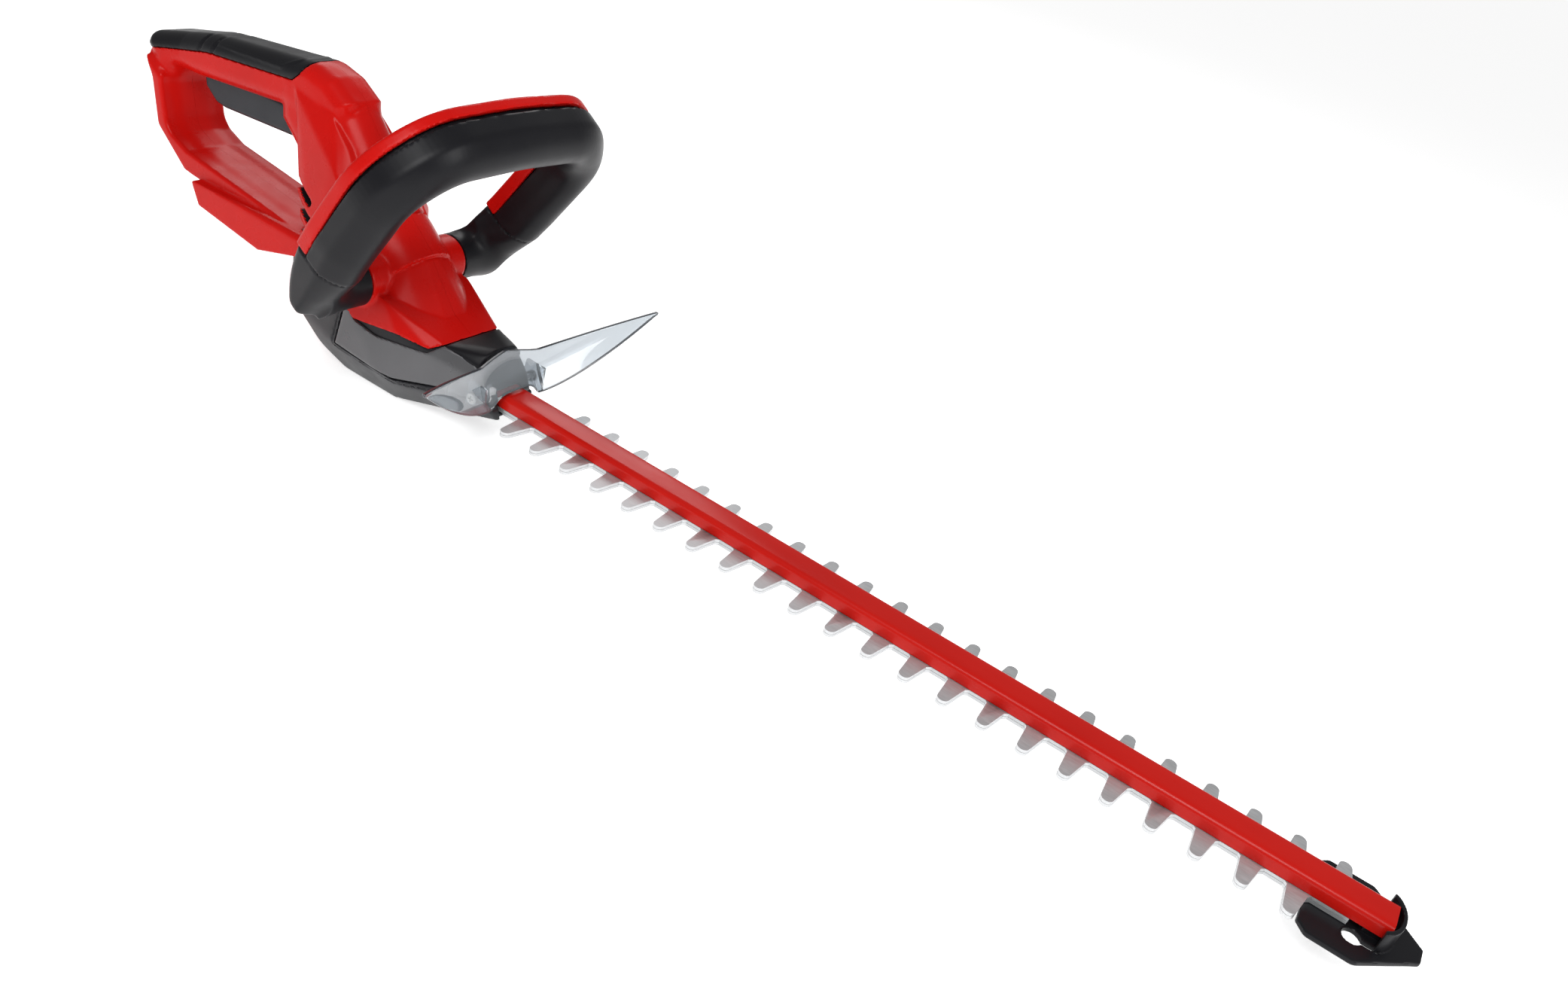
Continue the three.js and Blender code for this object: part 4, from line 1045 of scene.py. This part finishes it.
def make_tip_guard():
    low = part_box("tip_guard")[0] / MM
    plate = corners([
        (655, -26, 3), (661, -32.5, 4), (686, -32.5, 6), (711, -9, 5), (715, -5.5, 2),
        (715, 5.5, 2), (711, 9, 5), (686, 32.5, 6), (661, 32.5, 4), (655, 26, 3),
    ])

    def field(x, y, z):
        flat = outline(plate, x, y)
        sheet = smax(flat, slab(z, low.z, 23.6), 0.8)
        web = smax(smax(slab(x, 684.2, 696), np.abs(y) - 8, 1), slab(z, 22, 28), 0.5)
        # half an oval wall round the bar's end
        r = np.hypot((x - 690) / 0.6, y)
        lip = smax(smax(slab(r, 14.8, 18.2), slab(z, 22, 37), 0.8), 692.5 - x, 0.6)
        body = smin(smin(sheet, web, 0.5), lip, 0.8)
        holes = np.minimum(
            np.hypot(x - KEYHOLE_X, np.abs(y) - KEYHOLE_Y) - 5.2,
            np.maximum(slab(x, KEYHOLE_X, 695), np.abs(np.abs(y) - KEYHOLE_Y) - 1.6),
        )
        return smax(body, -np.maximum(holes, z - 24.2), 0.6)

    guard = sculpt("tip_guard_shield", field, (654, -33, 20), (716, 33, 38), 0.8)
    finish(guard, BLACK, replaces=["tip_guard"])


# ---- Clear hand guard ----
GUARD_HALF, GUARD_MIDDLE = 110, 22
FLAP_Y = (26.6, 28.6)


def guard_edge(y):
    """X and Z of the shield's top and bottom edges at y."""
    share = abs(y) / GUARD_HALF
    past = max(0.0, (abs(y) - GUARD_MIDDLE) / (GUARD_HALF - GUARD_MIDDLE))
    top = (90 + 37 * share**1.6, 62 - 5 * min(1, share / 0.25) + 24 * past**1.3)
    low = (104 + 23 * past, 40 - 9 * min(1, share / 0.2) ** 4 + 49 * past**1.5)
    return top, (low[0], min(low[1], top[1] - 1.5))


def make_guard():
    ys = np.linspace(-GUARD_HALF, GUARD_HALF, 89)
    rows = 14
    thick = 2.2
    co = []
    for y in ys:
        (tx, tz), (bx, bz) = guard_edge(y)
        for r in range(rows):
            s = r / (rows - 1)
            bow = 3.2 * math.sin(math.pi * s) * (1 - abs(y) / GUARD_HALF)
            co.append((tx + (bx - tx) * s - bow, y, tz + (bz - tz) * s))
    front = len(co)
    co += [(x + thick, y, z) for x, y, z in co]
    faces, rims = [], []
    for i in range(len(ys) - 1):
        for r in range(rows - 1):
            a, b = i * rows + r, (i + 1) * rows + r
            faces.append((a, a + 1, b + 1, b))
            faces.append((front + a, front + b, front + b + 1, front + a + 1))
        for r in (0, rows - 1):
            a, b = i * rows + r, (i + 1) * rows + r
            rims.append((a, b, front + b, front + a) if r == 0 else (a, front + a, front + b, b))
    for i in (0, len(ys) - 1):
        for r in range(rows - 1):
            a = i * rows + r
            rims.append((a, front + a, front + a + 1, a + 1))
    guard = mesh_object("hand_guard_shield", co, faces + rims)
    guard.data.materials.append(CLEAR)
    guard.data.materials.append(CLEAR_EDGE)
    for face in guard.data.polygons[len(faces):]:
        face.material_index = 1
    tidy(guard, 0.45, 2, 50)
    # room for the bar, and the two flaps that are screwed to the base
    boolean(guard, box_mesh((90, 120), (-BAR_ROOM, BAR_ROOM), (20, 38)), "DIFFERENCE")
    for side in (1, -1):
        across = sorted(side * y for y in FLAP_Y)
        boolean(guard, box_mesh((87.5, 104), across, (29.5, 47)), "UNION")
    smooth(guard)
    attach(guard, "housing")
    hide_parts("hand_guard")


# ---- Screws that show ----
SHANK_R, SHANK_LENGTH = 1.95, 12
CROSS_WIDE, CROSS_LONG, CROSS_DEEP = 0.5, 2.3, 1.7


def cross_screw(name, node, side, r, height):
    """A pan head with a cross recess, whose axis is Y. It stands for the CAD screw."""
    low, high = (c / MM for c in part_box(node))
    cx, cz = (low.x + high.x) / 2, (low.z + high.z) / 2
    out = high.y if side > 0 else -low.y

    def field(x, y, z):
        d = np.hypot(x - cx, z - cz)
        head = smax(d - r, slab(y * side, out - height, out - d * d * 0.03), 0.7)
        under = out - height
        shank = np.maximum(d - SHANK_R, slab(y * side, under - SHANK_LENGTH, under + 0.5))
        dx, dz = np.abs(x - cx), np.abs(z - cz)
        cross = np.minimum(
            np.maximum(dx - CROSS_WIDE, dz - CROSS_LONG),
            np.maximum(dz - CROSS_WIDE, dx - CROSS_LONG),
        )
        return np.maximum(np.minimum(head, shank), -np.maximum(cross, out - CROSS_DEEP - y * side))

    ys = sorted((side * out, side * (out - height - SHANK_LENGTH)))
    made = sculpt(name, field, (cx - r, ys[0], cz - r), (cx + r, ys[1], cz + r), 0.4)
    finish(made, ZINC, replaces=[node])


def make_screws():
    cross_screw("guard_screw_left_head", "guard_screw_left", 1, 4.0, 2.4)
    cross_screw("guard_screw_right_head", "guard_screw_right", -1, 4.0, 2.4)
    for i in range(1, 5):
        cross_screw(f"housing_screw_{i}_head", f"housing_screw_{i}", 1, 3.4, 2.2)


# ---- CAD nodes that stay, with their materials ----
CARRIED = {
    MACHINED: [
        "drive_gear",
        "gear_bearing_upper",
        "gear_bearing_lower",
        "motor_can",
        "trigger_spring",
        "switch_bar_spring",
    ],
    ZINC: [
        "tip_guard_screw",
        "handle_screw_left",
        "handle_screw_right",
        "trigger_pin",
        "switch_bar_pin_left",
        "switch_bar_pin_right",
        *(f"blade_screw_{i}" for i in range(1, 7)),
    ],
    CASTING: ["gear_plate", "gear_cover"],
    BRASS: ["motor_pinion", "battery_contact_1", "battery_contact_2"],
    COPPER: ["rotor"],
    NYLON: ["cooling_fan"],
    FELT: ["felt_seal"],
    BOARD: ["control_board"],
    DARK: ["motor_end_bell", "rear_switch", "front_switch", "battery_contact_block"],
}


def dress_cad_nodes():
    for mat, nodes in CARRIED.items():
        for node in nodes:
            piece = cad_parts[node]
            piece.data.materials.clear()
            piece.data.materials.append(mat)
            piece.data.polygons.foreach_set("use_smooth", [False] * len(piece.data.polygons))


# ---- Camera, floor and lights ----
def make_camera():
    camera = place("camera", bpy.data.cameras.new("camera"))
    yaw, pitch, roll = math.radians(23.574), math.radians(30.485), math.radians(17.381)
    level_part = math.cos(pitch)
    ahead = Vector((-math.sin(yaw) * level_part, math.cos(yaw) * level_part, -math.sin(pitch)))
    level = ahead.cross(Vector((0, 0, 1))).normalized()
    lift = level.cross(ahead)
    right = math.cos(roll) * level + math.sin(roll) * lift
    up = -math.sin(roll) * level + math.cos(roll) * lift
    turn = Matrix((right, up, -ahead)).transposed()
    camera.matrix_world = Matrix.Translation((0.56765, -0.59085, 0.45270)) @ turn.to_4x4()
    camera.data.lens = 29.288
    camera.data.sensor_width = 36
    camera.data.clip_start = 0.01
    bpy.context.scene.camera = camera
    bpy.context.scene.view_settings.view_transform = "Standard"


def make_stage():
    bm = bmesh.new()
    bmesh.ops.create_grid(bm, x_segments=1, y_segments=1, size=60)
    mesh = bpy.data.meshes.new("floor")
    bm.to_mesh(mesh)
    bm.free()
    floor = place("floor", mesh)
    floor.location.z = -0.0006  # clear of the tray's belly
    pale = material("pale_floor", (0.93, 0.93, 0.93), 0.9, Emission_Strength=0.66)
    shader_of(pale).inputs["Emission Color"].default_value = (1, 1, 1, 1)
    mesh.materials.append(pale)
    world = bpy.data.worlds.new("studio")
    bpy.context.scene.world = world
    world.use_nodes = True
    world.node_tree.nodes["Background"].inputs["Color"].default_value = (1, 1, 1, 1)
    world.node_tree.nodes["Background"].inputs["Strength"].default_value = 0.30


def make_light(name, where, target, size, power):
    light = bpy.data.lights.new(name, "AREA")
    light.shape, light.size, light.size_y, light.energy = "RECTANGLE", size[0], size[1], power
    made = place(name, light)
    made.location = where
    made.rotation_mode = "QUATERNION"
    made.rotation_quaternion = (Vector(target) - Vector(where)).to_track_quat("-Z", "Y")


def make_lights():
    make_light("key", (0.55, -1.0, 1.35), (0.1, 0, 0.1), (0.8, 0.8), 15)
    make_light("back", (-1.0, 1.2, 1.2), (0.1, 0, 0.1), (1.2, 0.7), 8)
    make_light("side", (1.6, 0.1, 0.8), (0.1, 0, 0.1), (0.5, 0.8), 7)


make_camera()
make_stage()
make_lights()
make_housing()
make_pad()
make_bail()
make_base()
make_trigger()
make_blade("upper_blade", "upper_blade_ground", "upper_blade", True)
make_blade("lower_blade", "lower_blade_ground", "lower_blade", False)
make_bar()
make_tip_guard()
make_guard()
make_screws()
dress_cad_nodes()
